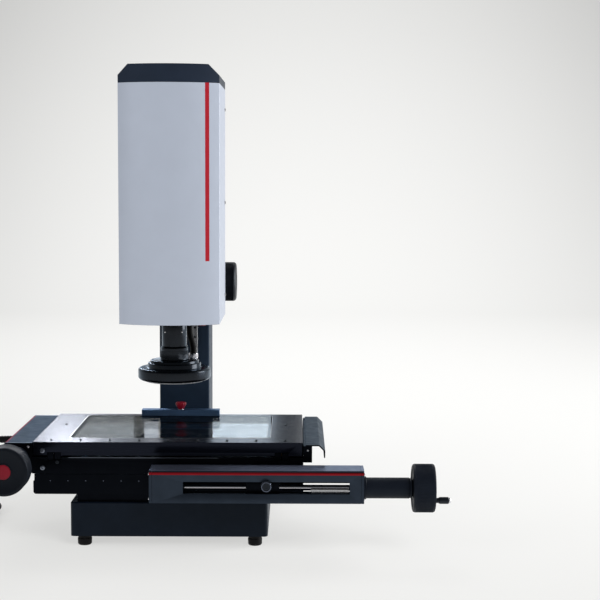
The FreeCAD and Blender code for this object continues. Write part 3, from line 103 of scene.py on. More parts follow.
class FinishSettings(bpy.types.PropertyGroup):
    """Colours of the finishes."""

    cover: colour("Cover", "Silver paint of the head cover", linear(184, 192, 207))
    stripe: colour("Stripe", "Red line on the cover", linear(176, 22, 40))
    drive_stripe: colour("Drive line", "Red line along the drives", linear(140, 26, 34))
    cap: colour("Cap", "Moulded cap of the head", linear(26, 34, 48))
    slate: colour("Drive", "Slate grey of the drive housings", linear(48, 56, 67))
    # Drive top is a painted reflection: the X drive's top face lightened to stand in for the sheen
    # it shows.
    drive_top_painted_sheen: colour("Drive top", "Paler top face of the X drive", linear(112, 118, 138))
    paint: colour("Paint", "Blue-black paint of the base", linear(12, 19, 29))
    column: colour("Column", "Blue-black paint of the column", linear(28, 40, 55))
    anodised: colour("Anodised", "Black anodising of the slide plates", linear(10, 12, 17))
    # Stop bar: its own blue-black anodising, lightened to paint the bluish reflection on its front.
    bar: colour("Stop bar", "Blue-black anodising of the stop bar", linear(82, 110, 146))
    stage: colour("Stage", "Ground and anodised top of the stage", linear(24, 27, 36))
    moulding: colour("Moulding", "Black plastic of the handwheels", linear(15, 19, 27))
    red: colour("Red plastic", "Caps and knobs", linear(108, 7, 26))
    lens: colour("Lens black", "Gloss black of the lens and ring light", linear(19, 24, 31))


class DetailSettings(bpy.types.PropertyGroup):
    """Sizes of the visible details."""

    edge: length("Edge break", "Width of the broken edges of the plates", 0.5)
    rim_ribs: IntProperty(name="Rim ribs", description="Ribs round a handwheel", min=12,
                          default=100)
    rib_depth: length("Rib depth", "Depth of the ribs of a handwheel", 0.5)
    stripe_width: length("Stripe width", "Width of the red line on the cover", 5.5)
    cable: length("Cable", "Diameter of the cable", 6.0)


class StudioSettings(bpy.types.PropertyGroup):
    """Backdrop and lamps."""

    floor: colour("Floor", "Pale floor and backdrop", linear(138, 138, 137))
    key: amount("Key", "Power of the lamp in front on the right", 62)
    side: amount("Side", "Power of the lamp on the right", 48)
    fill: amount("Fill", "Power of the lamp in front on the left", 28)
    back: amount("Back", "Power of the lamp behind", 14)
    world: amount("World", "Strength of the light from all round", 0.5)
    glow: amount("Glow", "White that is added to the backdrop at its brightest place", 0.8)


def finishes():
    """The scene's own colours."""
    return bpy.context.scene.microscope_finishes


def details():
    """The scene's own sizes of details."""
    return bpy.context.scene.microscope_details


# Shapes: each returns points in millimetres and faces

def grid_faces(rows, columns, wrap_rows=False, wrap_columns=True):
    """Quads of a grid of points, joined end to end where it wraps."""
    row = np.arange(rows if wrap_rows else rows - 1)[:, None]
    column = np.arange(columns if wrap_columns else columns - 1)[None, :]
    below, beside = (row + 1) % rows, (column + 1) % columns
    corners = (row * columns + column, below * columns + column,
               below * columns + beside, row * columns + beside)
    return np.stack([np.broadcast_to(c, corners[0].shape) for c in corners], -1).reshape(-1, 4)


def softened(profile, radius, steps=4):
    """The open profile with each inner corner replaced by a curve.

    The curve is quadratic, from a point within the radius of the corner, by the corner, to the
    point as far beyond it.
    """
    profile = np.asarray(profile, float)
    points = [profile[0]]
    for before, corner, after in zip(profile, profile[1:], profile[2:]):
        back, ahead = before - corner, after - corner
        reach = min(radius, 0.45 * np.linalg.norm(back), 0.45 * np.linalg.norm(ahead))
        start = corner + back / np.linalg.norm(back) * reach
        end = corner + ahead / np.linalg.norm(ahead) * reach
        share = np.linspace(0, 1, steps)[:, None]
        points.extend((1 - share) ** 2 * start + 2 * share * (1 - share) * corner
                      + share ** 2 * end)
    points.append(profile[-1])
    return np.array(points)


def lathe(profile, axis, centre, count=64, ripple=None, closed=False):
    """A profile of (place along the axis, radius) carried round the axis.

    A point is centre + along * axis + (radius + ripple) * (cos angle, sin angle) across it.
    An end with no radius is a pole, and a closed profile is joined into a ring.
    """
    along, radius = np.asarray(profile, float).T[:, :, None]
    angle = np.linspace(0, 2 * math.pi, count, endpoint=False)[None, :]
    reach = radius + 0 * angle
    if ripple is not None:
        reach = reach + ripple(angle, radius, along)
    main, first, second = AXES[axis]
    points = np.zeros((*reach.shape, 3))
    points[..., main] = along
    points[..., first] = centre[0] + reach * np.cos(angle)
    points[..., second] = centre[1] + reach * np.sin(angle)
    return points.reshape(-1, 3), grid_faces(*reach.shape, wrap_rows=closed)


def prism(stations, axis, centre, steps=5, closed=False):
    """Rounded rectangles of (along, half width, half height, corner radius) joined along an axis.

    Each corner of a rectangle is a quarter circle about a point one corner radius inside it.
    A station with no size is a pole, and closed stations are joined into a frame.
    """
    along, half, rise, corner = np.asarray(stations, float).T[:, :, None]
    quarter = np.repeat(np.arange(4), steps)[None, :]
    angle = quarter * math.pi / 2 + np.tile(np.linspace(0, math.pi / 2, steps), 4)[None, :]
    side = np.where((quarter == 0) | (quarter == 3), 1, -1)
    level = np.where(quarter < 2, 1, -1)
    main, first, second = AXES[axis]
    points = np.zeros((len(along), 4 * steps, 3))
    points[..., main] = along
    points[..., first] = centre[0] + side * (half - corner) + corner * np.cos(angle)
    points[..., second] = centre[1] + level * (rise - corner) + corner * np.sin(angle)
    return points.reshape(-1, 3), grid_faces(len(along), 4 * steps, wrap_rows=closed)


def slab(low, high, axis, corner, edge):
    """A block between two corners with rounded sides along the axis and broken ends."""
    main, first, second = AXES[axis]
    low, high = np.asarray(low, float), np.asarray(high, float)
    half, rise = (high - low)[[first, second]] / 2
    centre = ((high + low) / 2)[[first, second]]
    start, end = low[main], high[main]
    return prism([
        (start, 0, 0, 0), (start, half - edge, rise - edge, corner),
        (start + edge, half, rise, corner),
        (end - edge, half, rise, corner), (end, half - edge, rise - edge, corner), (end, 0, 0, 0),
    ], axis, centre)


def tube(route, radius, count=24, ripple=None):
    """A round section carried along a route that keeps to one X-Z plane.

    Each ring is route + radius * (cos angle * normal + sin angle * Y), with the normal square to
    the route, and ripple gives a change of radius from the distance along it.
    """
    route = np.asarray(route, float)
    run = np.gradient(route, axis=0)
    run /= np.linalg.norm(run, axis=1)[:, None]
    normal = np.stack([run[:, 2], 0 * run[:, 0], -run[:, 0]], -1)
    steps = np.linalg.norm(np.diff(route, axis=0), axis=1)
    distance = np.concatenate([[0], np.cumsum(steps)])
    reach = radius + (0 * distance if ripple is None else ripple(distance))
    reach[[0, -1]] = radius
    angle = np.linspace(0, 2 * math.pi, count, endpoint=False)
    ring = (np.cos(angle)[None, :, None] * normal[:, None, :]
            + np.sin(angle)[None, :, None] * np.array([0, 1.0, 0]))
    points = route[:, None, :] + reach[:, None, None] * ring
    ends = 0 * points[:1]
    points = np.concatenate([route[:1, None] + ends, points, route[-1:, None] + ends])
    return points.reshape(-1, 3), grid_faces(len(points), count)


def repeated(shape, places):
    """The shape moved to each of the places."""
    points, faces = shape
    places = np.asarray(places, float)
    shift = np.arange(len(places)) * len(points)
    return ((points[None] + places[:, None]).reshape(-1, 3),
            (faces[None] + shift[:, None, None]).reshape(-1, 4))


def ribs(count, depth, low, high, least):
    """Ripple of round ribs between two places along the axis, where the radius is large enough.

    The change of radius is depth * (cos(count * angle) - 1) / 2.
    """
    def ripple(angle, radius, along):
        inside = (along > low) & (along < high) & (radius > least)
        return inside * depth * (np.cos(count * angle) - 1) / 2
    return ripple


def hexagon(across, low, high):
    """Ripple that turns the circle of a socket, between two places, into a hexagon.

    The radius becomes half the width across flats / cos(angle - middle of its side).
    """
    def ripple(angle, radius, along):
        side = np.mod(angle, math.pi / 3) - math.pi / 6
        inside = (along > low) & (along < high) & (radius < 0.62 * across) & (radius > 0)
        return inside * (across / 2 / np.cos(side) - radius)
    return ripple


def material(name):
    """The material of a name, made plain when it is first asked for."""
    found = bpy.data.materials.get(name)
    return found if found else bpy.data.materials.new(name)


def build(name, body, slot, *shapes, replaced=(), look=None, sharp=35.0):
    """One object of the shapes, closed, facing outwards, riding on its body in its finish."""
    offset = np.cumsum([0] + [len(points) for points, _ in shapes])
    points = np.concatenate([points for points, _ in shapes]) * MM
    faces = np.concatenate([faces + start for (_, faces), start in zip(shapes, offset)])
    mesh = bpy.data.meshes.new(name)
    mesh.from_pydata(points.tolist(), [], faces.tolist())
    work = bmesh.new()
    work.from_mesh(mesh)
    bmesh.ops.remove_doubles(work, verts=work.verts, dist=2e-6)
    bmesh.ops.dissolve_degenerate(work, edges=work.edges, dist=1e-7)
    bmesh.ops.recalc_face_normals(work, faces=work.faces)
    work.to_mesh(mesh)
    work.free()
    mesh.shade_smooth()
    mesh.set_sharp_from_angle(angle=math.radians(sharp))
    mesh.materials.append(material(look or slot))
    piece = bpy.data.objects.new(name, mesh)
    bpy.context.scene.collection.objects.link(piece)
    return dressed(piece, body, slot, *replaced)


def dressed(piece, body, slot, *replaced):
    """Let the piece ride on its body and stand for CAD nodes, which it hides; the slot is not used.
    """
    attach(piece, body)
    if replaced:
        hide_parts(*replaced)
    return piece


# Camera, floor and lamps

CAMERA_PLACE = (105.0 * MM, -2032.9 * MM, 513.9 * MM)
CAMERA_YAW = 0.0022
CAMERA_PITCH = 0.0881
CAMERA_ROLL = 0.0041
CAMERA_LENS = 84.12


def make_camera():
    """Camera at the photograph's place: yaw to the right, pitch down, roll clockwise."""
    ahead = Vector((math.sin(CAMERA_YAW) * math.cos(CAMERA_PITCH),
                    math.cos(CAMERA_YAW) * math.cos(CAMERA_PITCH), -math.sin(CAMERA_PITCH)))
    right = Vector((math.cos(CAMERA_YAW), -math.sin(CAMERA_YAW), 0))
    up = right.cross(ahead)
    right, up = (right * math.cos(CAMERA_ROLL) + up * math.sin(CAMERA_ROLL),
                 up * math.cos(CAMERA_ROLL) - right * math.sin(CAMERA_ROLL))
    data = bpy.data.cameras.new("camera")
    data.lens = CAMERA_LENS
    data.sensor_width = 36
    data.clip_end = 50
    camera = bpy.data.objects.new("camera", data)
    turned = Matrix((right, up, -ahead)).transposed().to_4x4()
    camera.matrix_world = Matrix.Translation(CAMERA_PLACE) @ turned
    bpy.context.scene.collection.objects.link(camera)
    bpy.context.scene.camera = camera


# Brightest place of the backdrop and how far its glow reaches on each axis, in metres, and the
# least share of the glow that is left further away
GLOW_CENTRE = (0.15, 3.0, 0.2)
GLOW_REACH = (2.9, 6.0, 3.0)
GLOW_LEAST = 0.5


class Tree:
    """The node tree of one material, whose nodes are added and linked by name."""

    def __init__(self, name):
        self.material = material(name)
        self.material.use_nodes = True
        self.tree = self.material.node_tree
        self.shader = self.tree.nodes["Principled BSDF"]
        self.place = self.node("TexCoord").outputs["Object"]

    def node(self, kind, **values):
        """A new shader node of a kind, with its settings."""
        made = self.tree.nodes.new("ShaderNode" + kind)
        for name, value in values.items():
            setattr(made, name, value)
        return made

    def link(self, source, target):
        """Join an output to an input."""
        self.tree.links.new(source, target)

    def put(self, socket, value):
        """Link a socket or set its constant."""
        if isinstance(value, bpy.types.NodeSocket):
            self.link(value, socket)
        else:
            socket.default_value = value

    def maths(self, operation, first, second=0.0):
        """The result of a Math node on two sockets or constants."""
        made = self.node("Math", operation=operation)
        for socket, value in zip(made.inputs, (first, second)):
            self.put(socket, value)
        return made.outputs[0]

    def mapped(self, scale):
        """Object coordinates stretched by a scale on each axis."""
        made = self.node("Mapping")
        self.link(self.place, made.inputs["Vector"])
        made.inputs["Scale"].default_value = scale
        return made.outputs[0]

    def noise(self, scale, detail=3.0, stretch=(1, 1, 1)):
        """Noise from 0 to 1 with features of about 1 / scale metres."""
        made = self.node("TexNoise")
        made.inputs["Scale"].default_value = scale
        made.inputs["Detail"].default_value = detail
        self.link(self.mapped(stretch), made.inputs["Vector"])
        return made.outputs["Fac"]

    def range(self, value, low, high, start=0.3, end=0.7):
        """The value moved from start..end to low..high."""
        made = self.node("MapRange")
        for socket, item in zip(made.inputs, (value, start, end, low, high)):
            self.put(socket, item)
        return made.outputs["Result"]

    def mix(self, share, first, second):
        """First colour towards the second by a share."""
        made = self.node("Mix", data_type="RGBA")
        self.put(made.inputs[0], share)
        for socket, value in ((made.inputs[6], first), (made.inputs[7], second)):
            self.put(socket, value if isinstance(value, bpy.types.NodeSocket) else (*value, 1))
        return made.outputs[2]

    def bump(self, height, distance):
        """Raise and lower the surface by a height from 0 to 1 over a distance in metres."""
        made = self.node("Bump")
        made.inputs["Distance"].default_value = distance
        self.link(height, made.inputs["Height"])
        self.link(made.outputs["Normal"], self.shader.inputs["Normal"])

    def inside(self, axis, low, high):
        """One where a place lies between two others, in millimetres, and zero elsewhere."""
        parts = self.node("SeparateXYZ")
        self.link(self.place, parts.inputs[0])
        value = parts.outputs["XYZ".index(axis)]
        above = self.maths("GREATER_THAN", value, low * MM)
        return self.maths("MULTIPLY", above, self.maths("LESS_THAN", value, high * MM))

    def all_of(self, *masks):
        """One where every mask is one."""
        share = masks[0]
        for mask in masks[1:]:
            share = self.maths("MULTIPLY", share, mask)
        return share

    def set(self, **values):
        """Constants on the shader's own sockets."""
        for name, value in values.items():
            self.shader.inputs[name.replace("_", " ")].default_value = value

    def band(self, mask, tint):
        """Paint a band over the tree's colour where the mask is one."""
        target = self.shader.inputs["Base Color"]
        self.link(self.mix(mask, target.links[0].from_socket, tint), target)


def backdrop_material(studio):
    """Pale matt surface that keeps the shadow, lifted to white round one bright place.

    The lift is glow * max(least, 1 - (distance / reach) squared), for camera, gloss and glass.
    """
    tree = Tree("backdrop")
    tree.set(Base_Color=(*studio.floor, 1.0), Roughness=0.9, Specular_IOR_Level=0.0,
             Emission_Color=(1.0, 1.0, 0.985, 1.0))
    path = tree.node("LightPath").outputs
    seen = tree.maths("MAXIMUM", path["Is Camera Ray"],
                      tree.maths("MAXIMUM", path["Is Glossy Ray"], path["Is Transmission Ray"]))
    away = tree.node("VectorMath", operation="SUBTRACT")
    tree.link(tree.place, away.inputs[0])
    away.inputs[1].default_value = GLOW_CENTRE
    scaled = tree.node("VectorMath", operation="DIVIDE")
    tree.link(away.outputs[0], scaled.inputs[0])
    scaled.inputs[1].default_value = GLOW_REACH
    square = tree.node("VectorMath", operation="DOT_PRODUCT")
    for socket in square.inputs[:2]:
        tree.link(scaled.outputs[0], socket)
    share = tree.maths("MAXIMUM", tree.maths("SUBTRACT", 1.0, square.outputs["Value"]), GLOW_LEAST)
    lift = tree.maths("MULTIPLY", tree.maths("MULTIPLY", share, studio.glow), seen)
    tree.link(lift, tree.shader.inputs["Emission Strength"])
    return tree.material


def make_sheet(name, points, faces, finish):
    """A bare surface of the stage, its points in metres."""
    mesh = bpy.data.meshes.new(name)
    mesh.from_pydata(np.asarray(points).reshape(-1, 3).tolist(), [], faces.tolist())
    mesh.shade_smooth()
    mesh.materials.append(finish)
    sheet = bpy.data.objects.new(name, mesh)
    bpy.context.scene.collection.objects.link(sheet)
    return sheet


# Floor and wall of the backdrop, in metres
FLOOR_FRONT = -9.0
FLOOR_BACK = 3.2
CURVE_RADIUS = 1.2
CURVE_STEPS = 24
WALL_TOP = 5.0
HALF_WIDTH = 9.0


def make_backdrop(studio):
    """A floor that curves up into a wall, one profile carried along X.

    The curve is (back + radius * sin(angle), radius - radius * cos(angle)) over a quarter turn.
    """
    angle = np.linspace(0, math.pi / 2, CURVE_STEPS)
    curve = np.stack([FLOOR_BACK + CURVE_RADIUS * np.sin(angle),
                      CURVE_RADIUS - CURVE_RADIUS * np.cos(angle)], -1)
    profile = np.vstack([[FLOOR_FRONT, 0.0], curve, [FLOOR_BACK + CURVE_RADIUS, WALL_TOP]])
    points = np.zeros((2, len(profile), 3))
    points[..., 0] = np.array([[HALF_WIDTH], [-HALF_WIDTH]])
    points[..., 1:] = profile
    make_sheet("backdrop", points, grid_faces(2, len(profile), wrap_columns=False),
               backdrop_material(studio))


# Cards behind the object that only its gloss sees: their place along Y, then the left, right,
# low and high side of each in metres, its colour and its strength
CARD_PLACE = 1.5
CARDS = {
    "card_grey": (-0.85, -0.309, 0.30, 0.56, (0.82, 0.92, 1.0), 0.66),
    "card_dark": (-0.309, -0.283, 0.30, 0.56, (0.8, 0.9, 1.0), 0.04),
    "card_cool": (-0.283, -0.247, 0.30, 0.452, (0.82, 0.9, 1.0), 1.6),
    "card_light": (-0.12, 0.04, 0.30, 0.45, (0.74, 0.88, 1.0), 2.5),
    "card_shade": (0.04, 0.125, -0.05, 1.2, (0.8, 0.9, 1.0), 0.12),
    "card_shade_high": (-0.42, 0.04, 0.57, 1.2, (0.8, 0.9, 1.0), 0.1),
    "card_high": (-0.54, -0.42, 0.57, 1.6, (0.96, 0.96, 1.0), 19.0),
}


def make_card(name, left, right, low, high, tint, strength):
    """An upright bright or dark sheet that nothing but glossy rays meets."""
    tree = Tree(name)
    tree.set(Base_Color=(0, 0, 0, 1), Specular_IOR_Level=0.0, Emission_Color=(*tint, 1.0),
             Emission_Strength=strength)
    corners = [(left, low), (right, low), (right, high), (left, high)]
    card = make_sheet(name, [(x, CARD_PLACE, z) for x, z in corners], np.array([[0, 1, 2, 3]]),
                      tree.material)
    card.visible_camera = card.visible_diffuse = card.visible_transmission = False
    card.visible_shadow = False


# Lamps by the name of their power: place, target, width and height in metres, and whether gloss
# mirrors them
LAMPS = {
    "key": ((1.5, -2.4, 2.0), (0, 0, 0.3), 1.6, 1.4, False),
    "side": ((2.2, 0.5, 0.8), (-0.07, 0, 0.35), 1.2, 1.5, True),
    "fill": ((-1.9, -2.0, 1.3), (0, 0, 0.3), 1.4, 1.4, False),
    "back": ((-0.3, 1.9, 2.4), (0, 0, 0.2), 1.6, 0.8, True),
}


def area_lamp(name, power, place, target, width, height, mirrored):
    """A soft rectangular lamp that faces its target, and that gloss may mirror."""
    data = bpy.data.lights.new(name, "AREA")
    data.shape = "RECTANGLE"
    data.size, data.size_y = width, height
    data.energy = power
    lamp = bpy.data.objects.new(name, data)
    lamp.location = place
    lamp.rotation_euler = (Vector(target) - Vector(place)).to_track_quat("-Z", "Y").to_euler()
    lamp.visible_glossy = mirrored
    bpy.context.scene.collection.objects.link(lamp)


# Share of the world's light that gloss sees, and its strength for the camera
WORLD_GLOSS = 0.3
WORLD_SEEN = 0.85


def make_world(strength):
    """White light from all round, pale for the camera and dim where gloss would mirror it."""
    world = bpy.data.worlds.new("studio")
    world.use_nodes = True
    tree = world.node_tree
    background = tree.nodes["Background"]
    background.inputs["Color"].default_value = (1, 1, 1, 1)
    path = tree.nodes.new("ShaderNodeLightPath").outputs
    level = strength
    for ray, seen in (("Is Glossy Ray", strength * WORLD_GLOSS), ("Is Camera Ray", WORLD_SEEN)):
        change = tree.nodes.new("ShaderNodeMapRange")
        tree.links.new(path[ray], change.inputs["Value"])
        if isinstance(level, float):
            change.inputs["To Min"].default_value = level
        else:
            tree.links.new(level, change.inputs["To Min"])
        change.inputs["To Max"].default_value = seen
        level = change.outputs["Result"]
    tree.links.new(level, background.inputs["Strength"])
    bpy.context.scene.world = world


class STUDIO_OT_build(bpy.types.Operator):
    """Make the camera, the pale backdrop, the cards and the lamps"""

    bl_idname = "microscope.studio"
    bl_label = "Studio"

    def execute(self, context):
        studio = context.scene.microscope_studio
        make_camera()
        make_backdrop(studio)
        for name, values in CARDS.items():
            make_card(name, *values)
        for name, values in LAMPS.items():
            area_lamp(name + "_lamp", getattr(studio, name), *values)
        make_world(studio.world)
        context.scene.view_settings.view_transform = "Standard"
        return {"FINISHED"}


# Cable

# Points of the cable, from the tip of its gland down to the coil, in metres
CABLE_ROUTE = (
    (-0.3338, -0.0462, 0.136),
    (-0.3738, -0.0462, 0.136),
    (-0.4073, -0.0362, 0.106),
    (-0.4213, -0.0182, 0.064),
    (-0.4173, 0.0078, 0.026),
    (-0.4328, 0.0338, 0.0035),
    (-0.4328, 0.0688, 0.0035),
)
COIL_TURNS = 3
POINTS_PER_TURN = 16
FLOOR_GAP = 0.5 * MM


def coil_points(centre, outer, pitch, low, high):
    """Spiral inwards on the floor, climb half a turn, and spiral outwards on top.

    The angle falls from half a turn at a steady rate, the radius falls by one pitch a turn,
    stays over the climb and grows by one pitch a turn.
    """
    total = 2 * COIL_TURNS + 0.5
    turn = np.arange(1, int(total * POINTS_PER_TURN) + 1) / POINTS_PER_TURN
    inward = np.minimum(turn, COIL_TURNS)
    outward = np.maximum(turn - COIL_TURNS - 0.5, 0)
    widened = 1 / math.cos(math.pi / POINTS_PER_TURN)
    radius = (outer - pitch * inward + pitch * outward) * widened
    climb = np.clip((turn - COIL_TURNS) / 0.5, 0, 1)
    height = low + (high - low) * climb * climb * (3 - 2 * climb)
    angle = math.pi - 2 * math.pi * turn
    return np.stack([centre[0] + radius * np.cos(angle), centre[1] + radius * np.sin(angle),
                     height], -1)


def spline_curve(name, points, radius):
    """A NURBS curve of order 3 with the points as its control points and a round bevel."""
    data = bpy.data.curves.new(name, "CURVE")
    data.dimensions = "3D"
    spline = data.splines.new("NURBS")
    spline.points.add(len(points) - 1)
    for point, place in zip(spline.points, points):
        point.co = (*place, 1)
    spline.order_u = 3
    spline.use_endpoint_u = True
    spline.resolution_u = 6
    data.bevel_depth = radius
    data.bevel_resolution = 5
    data.use_fill_caps = True
    data.materials.append(material("rubber"))
    piece = bpy.data.objects.new(name, data)
    bpy.context.scene.collection.objects.link(piece)
    return piece


def make_gland():
    """Ribbed relief that narrows from the drive's wall to the cable."""
    low, high = box_mm("cable_gland")
    start, run = high[0], (high - low)[0]
    along = np.linspace(3.2, run, 100)
    radius = 5.5 - 0.9 * (along - 3.2) / (run - 3.2)
    radius = radius - 0.45 * (np.cos(2 * math.pi * (along - 3.2) / 4.0) < -0.2)
    outside = np.vstack([[(0, 3.05), (0, 6.4), (2.4, 6.4), (3.0, 6.0)],
                         np.stack([along, radius], -1), [(run, 3.05)]])
    outside[:, 0] = start - outside[:, 0]
    return build("gland_boot", "x_slide", "rubber",
                 lathe(outside, "X", middle_mm("cable_gland")[1:], 32, closed=True),
                 replaced=["cable_gland"])


def make_connector():
    """Connector at the cable's end: ribbed relief, moulded body and metal shell along Y."""
    low, high = box_mm("cable_plug")
    z, x = (low[2] + high[2]) / 2, (low[0] + high[0]) / 2
    front, back = low[1], high[1]
    body = prism([
        (front + 11.5, 0, 0, 0), (front + 11.5, 3.6, 7.2, 1.4), (front + 12.6, 4.4, 7.9, 1.6),
        (front + 22, 4.4, 7.9, 1.6), (front + 24, 4.1, 7.5, 1.6), (front + 40, 4.1, 7.5, 1.6),
        (front + 45.6, 3.9, 5.6, 1.8), (front + 47, 3.4, 4.4, 1.8), (front + 47, 0, 0, 0)],
        "Y", (z, x))
    along = np.linspace(front + 46.8, back, 90)
    taper = 4.0 - 0.7 * (along - along[0]) / (along[-1] - along[0])
    taper = taper - 0.4 * (np.cos(2 * math.pi * (along - along[0]) / 3.6) < -0.2)
    relief = np.vstack([[(along[0], 0)], np.stack([along, taper], -1), [(back, 0)]])
    piece = build("connector_body", "x_slide", "knob_black", body, lathe(relief, "Y", (z, x), 28),
                  replaced=["cable_plug"])
    shell = prism([
        (front + 3, 0, 0, 0), (front + 3, 1.8, 5.4, 0.5), (front, 1.9, 5.5, 0.6),
        (front, 2.25, 6.0, 0.8), (front + 11.6, 2.25, 6.0, 0.8), (front + 11.6, 0, 0, 0)],
        "Y", (z, x))
    return piece, build("connector_shell", "x_slide", "chrome", shell)


class CABLE_OT_build(bpy.types.Operator):
    """Lay the cable, its coil, its gland and its connector"""

    bl_idname = "microscope.cable"
    bl_label = "Cable"

    def execute(self, context):
        diameter = details().cable
        low_corner, high_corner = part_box("cable_coil")
        centre = (low_corner + high_corner) / 2
        outer = centre.x - CABLE_ROUTE[-1][0]
        low = FLOOR_GAP + diameter / 2
        step = diameter * 1.02
        coil = coil_points(centre, outer, step, low, low + step)
        plug = middle_mm("cable_plug") * MM
        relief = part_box("cable_plug")[1].y - 12 * MM
        tail = [(plug[0], centre.y - 10 * MM, low + 0.9 * diameter),
                (plug[0], relief + 14 * MM, plug[2]), (plug[0], relief, plug[2])]
        cord = spline_curve("cable_line", [*CABLE_ROUTE, *coil, *tail], diameter / 2)
        dressed(cord, "x_slide", "rubber", "cable", "cable_coil")
        pieces = [make_gland(), *make_connector()]
        return {"FINISHED"}


# Materials

def shades(tree, share, base, spread):
    """The base colour made darker and lighter by a spread, as the share goes from 0 to 1."""
    light = tuple(min(1.0, value * (1 + spread)) for value in base)
    dark = tuple(value * (1 - spread) for value in base)
    tree.link(tree.mix(share, dark, light), tree.shader.inputs["Base Color"])


def painted(name, base, rough, grain, depth, spread=0.12, **values):
    """Paint or moulded plastic: fine grain in the bump, soft patches in colour and gloss."""
    tree = Tree(name)
    shades(tree, tree.range(tree.noise(35.0), 0.0, 1.0), base, spread)
    tree.link(tree.range(tree.noise(90.0), rough - 0.04, rough + 0.06),
              tree.shader.inputs["Roughness"])
    tree.bump(tree.noise(grain, 2.0), depth * MM)
    tree.set(**values)
    return tree


def brushed(name, base, rough, along, depth=0.01, spread=0.1, **values):
    """Ground or brushed metal: streaks along one axis in colour, gloss and bump."""
    tree = Tree(name)
    stretch = tuple(0.03 if axis == along else 1.0 for axis in "XYZ")
    streaks = tree.noise(2600.0, 4.0, stretch)
    shades(tree, tree.range(streaks, 0.0, 1.0), base, spread)
    tree.link(tree.range(streaks, rough - 0.05, rough + 0.07), tree.shader.inputs["Roughness"])
    tree.bump(streaks, depth * MM)
    tree.set(**values)
    return tree


# Tint of the gloss on the blue-black finishes
COOL = (0.74, 0.86, 1.0, 1.0)
# Lower and upper edge of the X drive's red line below its top, width of the Y drive's and how
# far it reaches down, and the red line of the cover: inset from the right side and length
FRONT_LINE = (5.6, 2.1)
EDGE_LINE = (5.2, 2.4)
STRIPE_INSET = 13.6
STRIPE_LENGTH = 243
# Roughness that is added on the Y drive
Y_DRIVE_DULLING = 0.3


def drive_finish(tone):
    """Slate anodising, duller on the Y drive, with a red line on its edge and on the X drive."""
    tree = painted("drive_slate", tone.slate, 0.36, 3600.0, 0.012, spread=0.1,
                   Specular_IOR_Level=0.3, Specular_Tint=COOL)
    low, high = box_mm("x_drive_housing")
    # Painted reflection: the top face of the X drive is lightened to stand in for its sheen.
    tree.band(tree.all_of(tree.inside("Z", high[2] - 0.4, high[2] + 1),
                          tree.inside("Y", low[1] - 1, high[1] + 1)), tone.drive_top_painted_sheen)
    tree.band(tree.all_of(tree.inside("Z", high[2] - FRONT_LINE[0], high[2] - FRONT_LINE[1]),
                          tree.inside("Y", low[1] - 1, low[1] + 2.2)), tone.drive_stripe)
    low, high = box_mm("y_drive_housing")
    rough = tree.shader.inputs["Roughness"]
    dull = tree.maths("MULTIPLY", tree.inside("X", low[0] - 1, high[0] + 1), Y_DRIVE_DULLING)
    tree.link(tree.maths("ADD", rough.links[0].from_socket, dull), rough)
    tree.band(tree.all_of(tree.inside("X", low[0] - 1, low[0] + EDGE_LINE[0]),
                          tree.inside("Z", high[2] - EDGE_LINE[1], high[2] + 1)), tone.drive_stripe)
    return tree


def anodised_finish(tone):
    """Black anodising, with the stop bar's blue-black lightened as a painted reflection."""
    tree = painted("anodised_black", tone.anodised, 0.38, 4000.0, 0.01, Specular_IOR_Level=0.3,
                   Specular_Tint=COOL)
    # Painted reflection: the stop bar takes its blue-black, lightened for the sheen of its front.
    low, high = box_mm("stop_bar")
    tree.band(tree.all_of(tree.inside("Z", low[2] + 0.1, high[2] + 1),
                          tree.inside("Y", low[1] - 1, high[1] + 1)), tone.bar)


def wheel_finish(tone):
    """Black moulding, darker on the smooth outer face of the Y handwheel."""
    tree = painted("wheel_black", tone.moulding, 0.5, 2600.0, 0.03, Specular_IOR_Level=0.2,
                   Specular_Tint=COOL)
    face = box_mm("y_wheel_cap")[0][1]
    tree.band(tree.inside("Y", face - 2, face + 2), tone.anodised)


def cover_finish(tone):
    """Silver paint with a red line down the right side of the front."""
    tree = painted("cover_silver", tone.cover, 0.38, 2600.0, 0.008, spread=0.015)
    low, high = box_mm("head_cover")
    right = high[0] - STRIPE_INSET
    tree.band(tree.all_of(tree.inside("X", right - details().stripe_width / MM, right),
                          tree.inside("Z", high[2] - STRIPE_LENGTH, high[2] + 1),
                          tree.inside("Y", low[1] - 1, low[1] + 40)), tone.stripe)
    return tree


def glass_finish():
    """Clear plate glass with faint marks of wiping in its gloss."""
    tree = Tree("glass")
    tree.set(Base_Color=(0.9, 0.95, 0.95, 1.0), Transmission_Weight=1.0, IOR=1.5)
    tree.link(tree.range(tree.noise(60.0, 3.0, (1, 0.3, 1)), 0.0, 0.012),
              tree.shader.inputs["Roughness"])
    return tree


def diffuser_finish():
    """Milky plastic over the diodes of the ring light, switched off."""
    return painted("diffuser", linear(214, 218, 224), 0.35, 1200.0, 0.01, spread=0.05,
                   Subsurface_Weight=0.3, Subsurface_Radius=(0.002, 0.002, 0.002))


